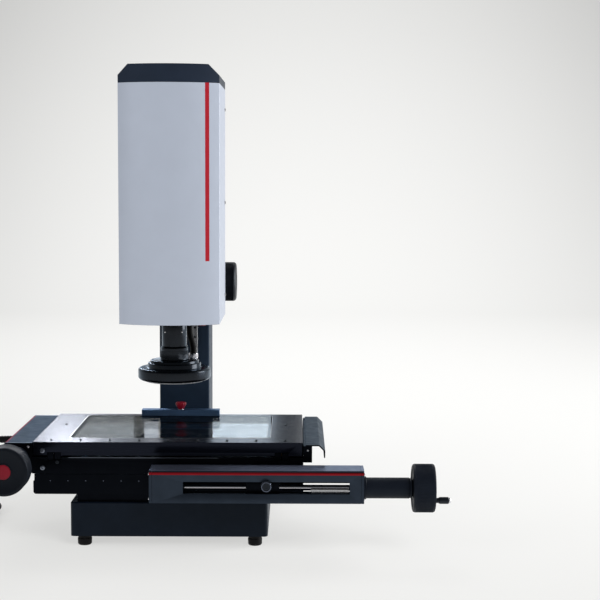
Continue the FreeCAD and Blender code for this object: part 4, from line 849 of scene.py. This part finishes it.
def make_materials():
    """Every finish of the object, by the names of the record's material slots."""
    tone = finishes()
    painted("base_paint", tone.paint, 0.45, 1500.0, 0.06, Specular_IOR_Level=0.25,
            Specular_Tint=COOL)
    painted("column_black", tone.column, 0.42, 2200.0, 0.03, Specular_IOR_Level=0.3,
            Specular_Tint=COOL)
    anodised_finish(tone)
    brushed("stage_anodised", tone.stage, 0.22, "X", depth=0.003, Specular_IOR_Level=0.28,
            Specular_Tint=(0.93, 0.95, 1.0, 1.0))
    painted("cap_dark", tone.cap, 0.46, 1700.0, 0.05, Specular_IOR_Level=0.4, Specular_Tint=COOL)
    painted("chassis_black", tone.anodised, 0.5, 2200.0, 0.03, Specular_IOR_Level=0.3)
    wheel_finish(tone)
    painted("knob_black", tone.anodised, 0.42, 2600.0, 0.02, Specular_IOR_Level=0.4,
            Specular_Tint=COOL)
    painted("red_plastic", tone.red, 0.34, 900.0, 0.01, Specular_IOR_Level=0.25, Coat_Weight=0.08,
            Coat_Roughness=0.15)
    painted("lens_black", tone.lens, 0.24, 4000.0, 0.002, Coat_Weight=0.3, Coat_Roughness=0.1,
            Specular_Tint=COOL)
    painted("rubber", linear(9, 9, 11), 0.6, 3000.0, 0.04, Specular_IOR_Level=0.2)
    brushed("screw_steel", linear(128, 134, 146), 0.3, "X", Metallic=1.0)
    brushed("dark_chrome", linear(92, 98, 112), 0.22, "X", depth=0.003, Metallic=1.0)
    brushed("steel", linear(196, 197, 200), 0.28, "Z", Metallic=1.0)
    brushed("chrome", linear(226, 226, 232), 0.12, "X", depth=0.003, spread=0.03, Metallic=1.0)
    brushed("brass_cage", linear(190, 160, 90), 0.35, "X", Metallic=1.0)
    brushed("camera_body", linear(90, 90, 96), 0.4, "Z", Metallic=0.8)
    drive_finish(tone)
    cover_finish(tone)
    glass_finish()
    diffuser_finish()


# Distance within which points of a CAD node merge, in metres, and the angles up to which its
# faces are smoothed and from which its edges are broken, in degrees
WELD_REACH = 0.00001
SMOOTH_TO = 20
BREAK_FROM = 40


def smoothing():
    """Geometry nodes that smooth a mesh but for its steeper edges."""
    group = bpy.data.node_groups.new("smooth_curves", "GeometryNodeTree")
    for way in ("INPUT", "OUTPUT"):
        group.interface.new_socket("Geometry", in_out=way, socket_type="NodeSocketGeometry")
    source, result = group.nodes.new("NodeGroupInput"), group.nodes.new("NodeGroupOutput")
    faces, edges = (group.nodes.new("GeometryNodeSetShadeSmooth") for _ in range(2))
    edges.domain = "EDGE"
    angle = group.nodes.new("GeometryNodeInputMeshEdgeAngle")
    gentle = group.nodes.new("FunctionNodeCompare")
    gentle.operation = "LESS_THAN"
    gentle.inputs["B"].default_value = math.radians(SMOOTH_TO)
    for start, end in (
            (source.outputs[0], faces.inputs["Geometry"]),
            (faces.outputs[0], edges.inputs["Geometry"]),
            (angle.outputs["Unsigned Angle"], gentle.inputs["A"]),
            (gentle.outputs[0], edges.inputs["Shade Smooth"]),
            (edges.outputs[0], result.inputs[0])):
        group.links.new(start, end)
    return group


def fine_edges(node, width, group):
    """Merge the loose triangles of a CAD node as they are drawn, smooth its curved faces and
    break its sharp edges."""
    weld = node.modifiers.new("weld", "WELD")
    weld.merge_threshold = WELD_REACH
    node.modifiers.new("smooth", "NODES").node_group = group
    bevel = node.modifiers.new("edges", "BEVEL")
    bevel.width = width
    bevel.segments = 2
    bevel.limit_method = "ANGLE"
    bevel.angle_limit = math.radians(BREAK_FROM)
    bevel.use_clamp_overlap = True
    bevel.harden_normals = True
    bevel.miter_outer = "MITER_ARC"


class FINISHES_OT_apply(bpy.types.Operator):
    """Give every CAD node its finish and break its edges"""

    bl_idname = "microscope.finishes"
    bl_label = "Finishes"

    def execute(self, context):
        make_materials()
        group = smoothing()
        for entry in frame["record"]["subparts"]:
            node = frame["nodes"][entry["node"]]
            slot = entry["material_slot"]
            node.data.materials.clear()
            node.data.materials.append(material(slot))
            if slot not in ("glass", "rubber"):
                fine_edges(node, details().edge, group)
        return {"FINISHED"}


# Drives: handwheels, cranks, tubes and release knobs

# Name, axis and the way out from the drive to its handwheel
DRIVES = (("x", "X", 1), ("y", "Y", -1))
KNURLS = 36


def place_across(node, axis):
    """The centre of a node's box across the axis, in the order that lathe takes."""
    _, first, second = AXES[axis]
    return middle_mm(node)[[first, second]]


def outwards(node, axis, way, profile):
    """A profile measured from a node's inner end, moved to its place along the axis."""
    low, high = box_mm(node)
    main = AXES[axis][0]
    start = low[main] if way > 0 else high[main]
    return [(start + way * along, radius) for along, radius in profile]


def make_wheel(name, axis, way):
    """Handwheel ring: dished faces, rounded rims and axial ribs round the rim.

    The result is the place of its outer face along the axis.
    """
    main = AXES[axis][0]
    low, high = box_mm(name + "_wheel_cap")
    face = (high[main] if way > 0 else -low[main]) - 0.8
    low, high = box_mm(name + "_handwheel")
    inner = low[main] if way > 0 else -high[main]
    width = face - inner
    radius = (high - low)[2] / 2
    profile = np.array([
        (0, 4.1), (0, 11), (1.2, 13), (1.2, radius - 7), (0, radius - 5.5), (0, radius - 2.6),
        (0.9, radius - 0.8), (2.8, radius), (3.2, radius), (3.6, radius), (width / 2, radius),
        (width - 3.6, radius), (width - 3.2, radius), (width - 2.8, radius),
        (width - 0.9, radius - 0.8), (width, radius - 2.6), (width, radius - 5),
        (width - 0.8, radius - 6.2), (width - 0.8, 12.2), (width, 11.2), (width, 10.15),
        (width - 1.5, 10.15), (width - 1.5, 4.1)])
    profile[:, 0] = way * (inner + profile[:, 0])
    ends = sorted((way * (inner + 3.4), way * (inner + width - 3.4)))
    count = details().rim_ribs
    ripple = ribs(count, details().rib_depth / MM, *ends, radius - 1)
    centre = place_across(name + "_drive_rod", axis)
    build(name + "_wheel_ring", name + "_spindle", "wheel_black",
          lathe(profile, axis, centre, count * 4, ripple, closed=True),
          replaced=[name + "_handwheel"])
    return face * way


def make_drive(name, axis, way):
    """One drive's handwheel with its cap, crank and pin, and the tube that carries its rod."""
    body = name + "_spindle"
    centre = place_across(name + "_drive_rod", axis)
    main = AXES[axis][0]
    face = make_wheel(name, axis, way)
    cap = softened([(-1.4, 0), (-1.4, 9.9), (0.3, 9.9), (0.8, 8.6), (0.9, 0)], 0.5)
    build(name + "_cap_disc", body, "red_plastic",
          lathe([(face + way * along, radius) for along, radius in cap], axis, centre, 48),
          replaced=[name + "_wheel_cap"])
    handle = name + "_crank_handle"
    crank = place_across(handle, axis)
    low, high = box_mm(handle)
    run = (high - low)[main]
    grip = softened([(0, 2.6), (0, 3.5), (3.2, 3.5), (4.4, 4.65), (run - 1.2, 4.65), (run, 3.6),
                     (run, 2.6)], 0.8)
    build(name + "_crank_grip", name + "_crank", "knob_black",
          lathe(outwards(handle, axis, way, grip), axis, crank, 40, closed=True), replaced=[handle])
    pin = [(-0.5, 0), (-0.5, 2.45), (run + 0.6, 2.45), (run + 0.6, 3.9), (run + 1.6, 3.9),
           (run + 2.1, 3.4), (run + 2.1, 1.6), (run + 1.0, 1.6), (run + 1.0, 0)]
    socket = hexagon(3.0, *sorted((face + way * (run + 0.9), face + way * (run + 2.2))))
    build(name + "_crank_pin", body, "chrome",
          lathe([(face + way * along, radius) for along, radius in pin], axis, crank, 24, socket))
    tube_node = name + "_drive_tube"
    low, high = box_mm(tube_node)
    reach = (high - low)[main]
    sleeve = softened([
        (0, 9), (0, 15.4), (3, 15.4), (3.6, 14), (reach - 4, 14), (reach - 3.4, 13.2),
        (reach - 2.4, 13.2), (reach - 1.8, 14), (reach - 0.6, 14), (reach, 13.2), (reach, 4.2),
        (reach - 8, 4.2), (reach - 8, 9)], 0.4, 3)
    build(name + "_tube_sleeve", "base" if name == "x" else "x_slide", "wheel_black",
          lathe(outwards(tube_node, axis, way, sleeve), axis, centre, 64, closed=True),
          replaced=[tube_node])


def make_release(name, across, way):
    """Knurled chrome knob with a dark face and a hexagon socket, outwards along its axis."""
    node = name + "_release_knob"
    low, high = box_mm(node)
    main = AXES[across][0]
    centre = place_across(node, across)
    face = high[main] if way > 0 else low[main]
    stem = (high - low)[main]
    rim = softened([(stem, 0), (stem, 2.9), (6.0, 2.9), (6.0, 6.6), (5.4, 7.25), (5.2, 7.25),
                    (1.4, 7.25), (1.2, 7.25), (0.1, 6.4), (0.1, 5.3), (1.2, 5.1), (1.2, 0)],
                   0.3, 3)
    ends = sorted((face - way * 1.3, face - way * 5.3))
    build(name + "_release_rim", name + "_release", "chrome", lathe(
        [(face - way * along, radius) for along, radius in rim], across, centre, 4 * KNURLS,
        ribs(KNURLS, 0.35, *ends, 7.0)), replaced=[node], look="dark_chrome")
    disc = [(1.3, 0), (1.3, 5.05), (0.5, 5.05), (0.3, 4.8), (0.3, 2.4), (1.05, 2.4), (1.05, 0)]
    socket = hexagon(4.2, *sorted((face - way * 0.2, face - way * 1.1)))
    build(name + "_release_face", name + "_release", "knob_black", lathe(
        [(face - way * along, radius) for along, radius in disc], across, centre, 48, socket))


class DRIVES_OT_build(bpy.types.Operator):
    """Make the ribbed handwheels, cranks, tubes and release knobs of both drives"""

    bl_idname = "microscope.drives"
    bl_label = "Drives"

    def execute(self, context):
        for drive in DRIVES:
            make_drive(*drive)
        make_release("x", "Y", -1)
        make_release("y", "X", -1)
        return {"FINISHED"}


# Head: lens, rings, light guide and knobs

LENS_BORE = 15.1


def make_lens():
    """Lens with stepped rings below the wide zoom body, and its knurled zoom ring."""
    low, high = box_mm("zoom_body")
    centre = middle_mm("zoom_body")[:2]
    ring_low, ring_high = box_mm("zoom_ring")
    start, end = ring_low[2], ring_high[2]
    seat = end + 0.3
    wide = seat + 85
    profile = softened([
        (low[2], 0), (low[2], 15), (seat, 15), (seat, 17.7), (seat + 34, 17.7), (seat + 34.6, 17.2),
        (seat + 35.6, 17.2), (seat + 36.2, 17.7), (wide, 17.7), (wide + 6, 29), (wide + 140, 29),
        (wide + 140, 15), (high[2], 15), (high[2], 0)], 0.4, 3)
    build("lens_tube", "head", "lens_black", lathe(profile, "Z", centre, 96),
          replaced=["zoom_body"])
    ring = [(start, 15.3), (start, 19.0), (start + 0.7, 19.65), (start + 2, 19.65),
            (start + 2.3, 19.65), (end - 6.4, 19.65), (end - 6, 19.65), (end - 2.2, 19.65),
            (end, 17.8), (end, 15.3)]
    build("zoom_grip", "zoom", "lens_black", lathe(
        ring, "Z", centre, 288, ribs(72, 0.45, start + 2.1, end - 6.2, 19.0), closed=True),
          replaced=["zoom_ring"])
    screws = [(centre[0] + side * 12.0, centre[1] - 13.2, seat + 21) for side in (-1, 1)]
    build("lens_screws", "head", "steel", repeated(stud("Y", -1, 1.3, 8), screws))


def make_ring_light():
    """Ring lamp with rounded rims over a scalloped diffuser."""
    low, high = box_mm("ring_light")
    centre = middle_mm("ring_light")[:2]
    bottom, top = low[2], high[2]
    profile = softened([
        (top, LENS_BORE), (top, 34), (top - 4, 35), (top - 4, 38), (top - 10.6, 38), (top - 11, 40),
        (top - 11, 49.8), (top - 13.2, 52), (bottom + 3.0, 52), (bottom, 49), (bottom, 44),
        (bottom + 3, 44), (bottom + 3, 33), (bottom, 33), (bottom, 31),
        (bottom + 14, LENS_BORE)], 1.0, 5)
    build("ring_shell", "head", "lens_black", lathe(profile, "Z", centre, 128, closed=True),
          replaced=["ring_light"])
    milky = softened([(bottom + 2.8, 33.4), (bottom + 2.8, 43.6), (bottom - 2.0, 43.2),
                      (bottom - 2.6, 41), (bottom - 2.6, 35.6), (bottom - 0.6, 33.6)], 0.6, 3)

    def domes(angle, radius, along):
        return (along < bottom) * (radius > 38) * 0.9 * (np.abs(np.cos(24 * angle)) - 1)

    build("diffuser_ring", "head", "glass", lathe(milky, "Z", centre, 288, domes, closed=True),
          look="diffuser")


def make_light_guide():
    """Chrome sleeve with a set screw, and the ribbed guide that climbs out of it.

    The guide's x goes from the sleeve's to its upper place by share squared * (3 - 2 * share).
    """
    low, high = box_mm("guide_sleeve")
    centre = middle_mm("guide_sleeve")[:2]
    start, end = low[2], high[2]
    sleeve = softened([(start, 0), (start, 6.8), (start + 6.5, 6.8), (start + 7.2, 6.1),
                       (start + 8.6, 6.1), (start + 9.3, 6.8), (end - 1, 6.8), (end, 5.8),
                       (end, 0)], 0.5)
    grip = ribs(KNURLS, 0.3, start + 9.4, end - 1.2, 6.5)
    build("sleeve_shell", "head", "chrome", lathe(sleeve, "Z", centre, 4 * KNURLS, grip),
          repeated(stud("X", 1, 2.0, 12), [(centre[0] + 6.4, centre[1], start + 4)]),
          replaced=["guide_sleeve"])
    low, high = box_mm("light_guide")
    upper = low[0] + 4.8
    height = np.linspace(low[2], high[2], 180)
    share = np.clip((height - low[2] - 3) / 30, 0, 1)
    route = np.stack([centre[0] + (upper - centre[0]) * share * share * (3 - 2 * share),
                      centre[1] + 0 * height, height], -1)
    build("guide_hose", "head", "rubber",
          tube(route, 4.6, 24, lambda run: 0.22 * (np.cos(run * math.pi) - 1)),
          replaced=["light_guide"])


def make_focus_knob():
    """Focus knob with a ribbed rim, a dished face and a disc over its shaft."""
    low, high = box_mm("focus_knob")
    centre = middle_mm("focus_shaft")[1:]
    start, end, radius = low[0], high[0], (high - low)[2] / 2
    knob = [(start, 6.1), (start, radius - 2.4), (start + 0.8, radius - 0.8), (start + 2.4, radius),
            (start + 3.0, radius), (start + 3.4, radius), (end - 4.6, radius), (end - 4.2, radius),
            (end - 3.6, radius - 0.1), (end - 1.4, radius - 1.4), (end - 0.3, radius - 3.6),
            (end, radius - 6), (end, 13), (end - 0.8, 12), (end - 0.8, 6.1)]
    build("focus_grip", "focus", "knob_black", lathe(
        knob, "X", centre, 360, ribs(90, 0.5, start + 3.2, end - 4.4, radius - 1), closed=True),
          replaced=["focus_knob"])
    disc = softened([(end - 6, 0), (end - 6, 11.8), (end - 1.0, 11.8), (end - 0.4, 11.2),
                     (end - 0.4, 0)], 0.4)
    build("focus_disc", "focus", "wheel_black", lathe(disc, "X", centre, 48))


def make_red_knobs():
    """Lobed clamp knob under the head, and the tapered stop screw on its chrome stem."""
    low, high = box_mm("clamp_knob")
    centre = middle_mm("clamp_knob")[:2]
    bottom, top = low[2], high[2]
    shape = softened([(bottom, 0), (bottom, 6.0), (bottom + 3.4, 8), (bottom + 16.6, 8),
                      (bottom + 18, 6.8), (bottom + 18, 3), (top, 3), (top, 0)], 1.0)
    build("clamp_grip", "clamp", "red_plastic", lathe(
        shape, "Z", centre, 96, ribs(16, 0.7, bottom + 1.0, bottom + 17, 5.4)),
          replaced=["clamp_knob"])
    low, high = box_mm("stop_screw")
    centre = middle_mm("stop_screw")[:2]
    bottom, top = low[2], high[2]
    stem = softened([(bottom, 0), (bottom, 2.9), (top - 11.6, 2.9), (top - 11.4, 4.2),
                     (top - 10.6, 4.2), (top - 10.4, 0)], 0.3, 3)
    build("stop_stem", "stop", "chrome", lathe(stem, "Z", centre, 32), replaced=["stop_screw"])
    grip = softened([(top - 10.5, 0), (top - 10.5, 4.4), (top - 3.6, 8.0), (top - 2.4, 8.2),
                     (top - 0.8, 8.0), (top, 6.6), (top, 0)], 0.8)
    build("stop_grip", "stop", "red_plastic", lathe(
        grip, "Z", centre, 96, ribs(12, 0.7, top - 9.5, top - 1.0, 4.6)))


class HEAD_OT_build(bpy.types.Operator):
    """Make the lens, the ring light, the light guide and the knobs of the head"""

    bl_idname = "microscope.head"
    bl_label = "Head"

    def execute(self, context):
        make_lens()
        make_ring_light()
        make_light_guide()
        make_focus_knob()
        make_red_knobs()
        return {"FINISHED"}


# Screws, end blocks and feet

def stud(axis, way, radius, count=12):
    """A button-head screw at the origin, its dimple facing one way along the axis."""
    profile = np.array([(-0.2, 0), (-0.2, 1), (0.3, 1), (0.55, 0.85), (0.66, 0.6), (0.66, 0.45),
                        (0.2, 0.42), (0.2, 0)]) * radius
    profile[:, 0] *= way
    return lathe(profile, axis, (0, 0), count)


def corners_across(node, axis, inset, end):
    """Four places on an end of a node, in from the corners of its box."""
    low, high = box_mm(node)
    main, first, second = AXES[axis]
    spots = np.zeros((4, 3))
    spots[:, main] = high[main] if end > 0 else low[main]
    spots[:, first] = [low[first] + inset, high[first] - inset] * 2
    spots[:, second] = np.repeat([low[second] + inset, high[second] - inset], 2)
    return spots


def end_shapes(node, axis, across, width, reach):
    """Blocks of a strip's own section that carry on from both ends of the two outer strips."""
    low, high = box_mm(node)
    main, side = AXES[axis][0], AXES[across][0]
    shapes = []
    for near, far in ((low[side], low[side] + width), (high[side] - width, high[side])):
        for start, end in ((low[main] - reach, low[main] - 0.1),
                           (high[main] + 0.1, high[main] + reach)):
            first, last = low.copy(), high.copy()
            first[side], last[side] = near + 0.2, far - 0.2
            first[main], last[main] = start, end
            first[2] += 0.2
            last[2] -= 0.2
            shapes.append(slab(first, last, axis, 0.6, 0.4))
    return shapes


# Places of the screws, in millimetres: of the two at the left from the carriage's side, and
# heights, first place and pitch of the rest
FRONT_INSET = 14.6
PLATE_SCREW_HEIGHT = 138.2
CARRIAGE_SCREW_HEIGHT = 114.4
PLUG_HEIGHT = 122.2
GUIDE_SCREW_HEIGHT = 94.8
GUIDE_SCREW_START = 23.5
GUIDE_SCREW_PITCH = 24.4
RAIL_SCREW_INSET = 4
RAIL_SCREW_PITCH = 15.0
CAP_SCREW_INSET = 5.2
GLASS_CORNER = 7.0


def make_front_screws():
    """Silver screws, a dark plug and the row of small screws on the front of the slides."""
    plate, carriage = box_mm("stage_plate")[0], box_mm("x_carriage")[0]
    left = carriage[0] + FRONT_INSET
    screw = stud("Y", -1, 3.6, 24)
    build("plate_screw", "stage", "steel",
          repeated(screw, [(left, plate[1], PLATE_SCREW_HEIGHT)]), look="screw_steel")
    build("carriage_screw", "x_slide", "steel",
          repeated(screw, [(left, carriage[1], CARRIAGE_SCREW_HEIGHT)]), look="screw_steel")
    build("carriage_plug", "x_slide", "knob_black",
          repeated(stud("Y", -1, 2.7, 16), [(left + 20, carriage[1], PLUG_HEIGHT)]))
    low, high = box_mm("guide_base")
    places = [(x, low[1], GUIDE_SCREW_HEIGHT) for x in
              np.arange(low[0] + GUIDE_SCREW_START, high[0] - 10, GUIDE_SCREW_PITCH)]
    build("guide_screws", "base", "steel", repeated(stud("Y", -1, 1.0, 8), places),
          look="dark_chrome")
    low, high = box_mm("side_blocks")
    build("block_screws", "x_slide", "steel",
          repeated(stud("Y", -1, 1.7, 10), [(low[0] + 6, low[1], high[2] - 6)]),
          repeated(stud("Y", 1, 1.7, 10), [(low[0] + 6, high[1], high[2] - 6)]))


def make_plate_screws():
    """Small dark screws along the front of the stage plate and one at each side of its glass."""
    low, high = box_mm("stage_plate")
    places = [(x, low[1] + 16, high[2]) for x in np.linspace(low[0] + 23, high[0] - 23.5, 9)]
    places += [(x, 0, high[2]) for x in (low[0] + 24, high[0] - 24)]
    build("plate_studs", "stage", "knob_black", repeated(stud("Z", 1, 1.7, 10), places))


def make_stage_trim():
    """Thin bright rim of the glass, a steel strip as painted highlight on the carriage's edge, and
    inner lip of the side cover.
    """
    low, high = box_mm("stage_glass")
    half, rise = (high - low)[:2] / 2
    bottom, top = high[2] - 0.4, high[2] + 0.12
    build("glass_rim", "stage", "steel", prism(
        [(z, half + out, rise + out, GLASS_CORNER)
         for z, out in ((bottom, 0.5), (top, 0.5), (top, -0.2), (bottom, -0.2))],
        "Z", middle_mm("stage_glass")[:2], 8, closed=True))
    # A steel strip along the carriage's top front edge, put there as a painted highlight for the
    # bright line of the gap above it.
    low, high = box_mm("x_carriage")
    build("carriage_edge", "x_slide", "steel",
          slab((low[0] + 50, low[1] - 0.3, high[2] - 0.9),
               (low[0] + 255, low[1] + 0.5, high[2] - 0.2), "X", 0.2, 0.1), look="screw_steel")
    low, high = box_mm("side_cover")
    build("cover_lip", "x_slide", "anodised_black",
          slab((low[0] - 3.5, low[1] + 16.4, low[2] + 1),
               (low[0] + 0.3, high[1] - 16.4, high[2] - 2.4), "Y", 0.5, 0.3))


def make_cap_screws():
    """Screws in the corners of the drives' end plates and down the sides of the head cover."""
    for name, body in (("x", "base"), ("y", "x_slide")):
        axis = name.upper()
        build(name + "_cap_screws", body, "chrome", *(
            repeated(stud(axis, end, 1.9, 12),
                     corners_across(name + "_end_caps", axis, CAP_SCREW_INSET, end))
            for end in (-1, 1)))
    low, high = box_mm("head_cover")
    heights = (low[2] + 30, (low[2] + high[2]) / 2, high[2] - 30)
    build("cover_screws", "head", "steel", *(
        repeated(stud("X", way, 2.4, 12), [(x, high[1] - 14, z) for z in heights])
        for way, x in ((-1, low[0]), (1, high[0]))))


def make_rail_screws():
    """Dark screws at an even pitch down both rails of the column."""
    low, high = box_mm("column_rails")
    heights = np.arange(low[2] + RAIL_SCREW_PITCH / 2, high[2], RAIL_SCREW_PITCH)
    places = [(x, low[1], z) for x in (low[0] + RAIL_SCREW_INSET, high[0] - RAIL_SCREW_INSET)
              for z in heights]
    screw = lathe([(0.3, 0), (0.3, 2.0), (-0.35, 2.0), (-0.4, 1.7), (-0.15, 1.1), (-0.15, 0)],
                  "Y", (0, 0), 10)
    build("rail_screws", "base", "knob_black", repeated(screw, places))


def make_slot_parts():
    """Steel strip at the right of the X drive's slot and the dark bracket of its grip block."""
    front = box_mm("x_drive_housing")[0][1]
    build("slot_strip", "base", "steel",
          slab((125, front + 8, 91.0), (175.5, front + 9.2, 96.6), "X", 0.3, 0.2))
    block = box_mm("x_grip")[0]
    build("grip_bracket", "x_slide", "anodised_black",
          slab((block[0] - 10.5, front + 9.6, 91.5), (block[0] + 34, front + 11.1, 105.0),
               "X", 0.3, 0.2))


def make_feet():
    """Turned rubber feet with a groove under a thin washer."""
    low, high = box_mm("rubber_feet")
    top = high[2]
    profile = softened([
        (0, 0), (0, 8.4), (1.6, 9.7), (top - 5.2, 10), (top - 4.4, 9.2), (top - 3.2, 9.2),
        (top - 2.4, 10), (top - 0.4, 10), (top, 9.6), (top, 0)], 0.5, 3)
    places = [(x, y, 0) for x in (low[0] + 10, high[0] - 10) for y in (low[1] + 10, high[1] - 10)]
    build("turned_feet", "base", "rubber", repeated(lathe(profile, "Z", (0, 0), 48), places),
          replaced=["rubber_feet"])


class FITTINGS_OT_build(bpy.types.Operator):
    """Make the screws, the stage's trim, the guide strips' end blocks, the feet and slot parts"""

    bl_idname = "microscope.fittings"
    bl_label = "Fittings"

    def execute(self, context):
        make_front_screws()
        make_plate_screws()
        make_stage_trim()
        make_cap_screws()
        make_rail_screws()
        for name, body, axis, across in (
                ("y_fixed", "x_slide", "Y", "X"), ("y_moving", "stage", "Y", "X"),
                ("x_fixed", "base", "X", "Y"), ("x_moving", "x_slide", "X", "Y")):
            build(name + "_ends", body, "anodised_black",
                  *end_shapes(name + "_strips", axis, across, 9.0, 4.8))
        make_slot_parts()
        make_feet()
        return {"FINISHED"}


# Panel and run

OPERATORS = [STUDIO_OT_build, CABLE_OT_build, FINISHES_OT_apply, DRIVES_OT_build, HEAD_OT_build,
             FITTINGS_OT_build]
SETTINGS = {
    "microscope_finishes": FinishSettings,
    "microscope_details": DetailSettings,
    "microscope_studio": StudioSettings,
}


class VIEW3D_PT_microscope(bpy.types.Panel):
    """Buttons that make each group of pieces, above the settings"""

    bl_label = "Measuring Microscope"
    bl_space_type = "VIEW_3D"
    bl_region_type = "UI"
    bl_category = "Microscope"

    def draw(self, context):
        for operator in OPERATORS:
            self.layout.operator(operator.bl_idname)
        for name, group in SETTINGS.items():
            box = self.layout.box()
            for prop in group.__annotations__:
                box.prop(getattr(context.scene, name), prop)


def register():
    """Add the classes, and the settings to the scene."""
    for item in (*SETTINGS.values(), *OPERATORS, VIEW3D_PT_microscope):
        bpy.utils.register_class(item)
    for name, group in SETTINGS.items():
        setattr(bpy.types.Scene, name, PointerProperty(type=group))


def unregister():
    """Take away what register adds."""
    for name in SETTINGS:
        delattr(bpy.types.Scene, name)
    for item in reversed((*SETTINGS.values(), *OPERATORS, VIEW3D_PT_microscope)):
        bpy.utils.unregister_class(item)


def main():
    """Make every group of pieces in order."""
    register()
    for operator in OPERATORS:
        group, name = operator.bl_idname.split(".")
        getattr(getattr(bpy.ops, group), name)()
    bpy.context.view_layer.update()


if __name__ == "__main__":
    main()
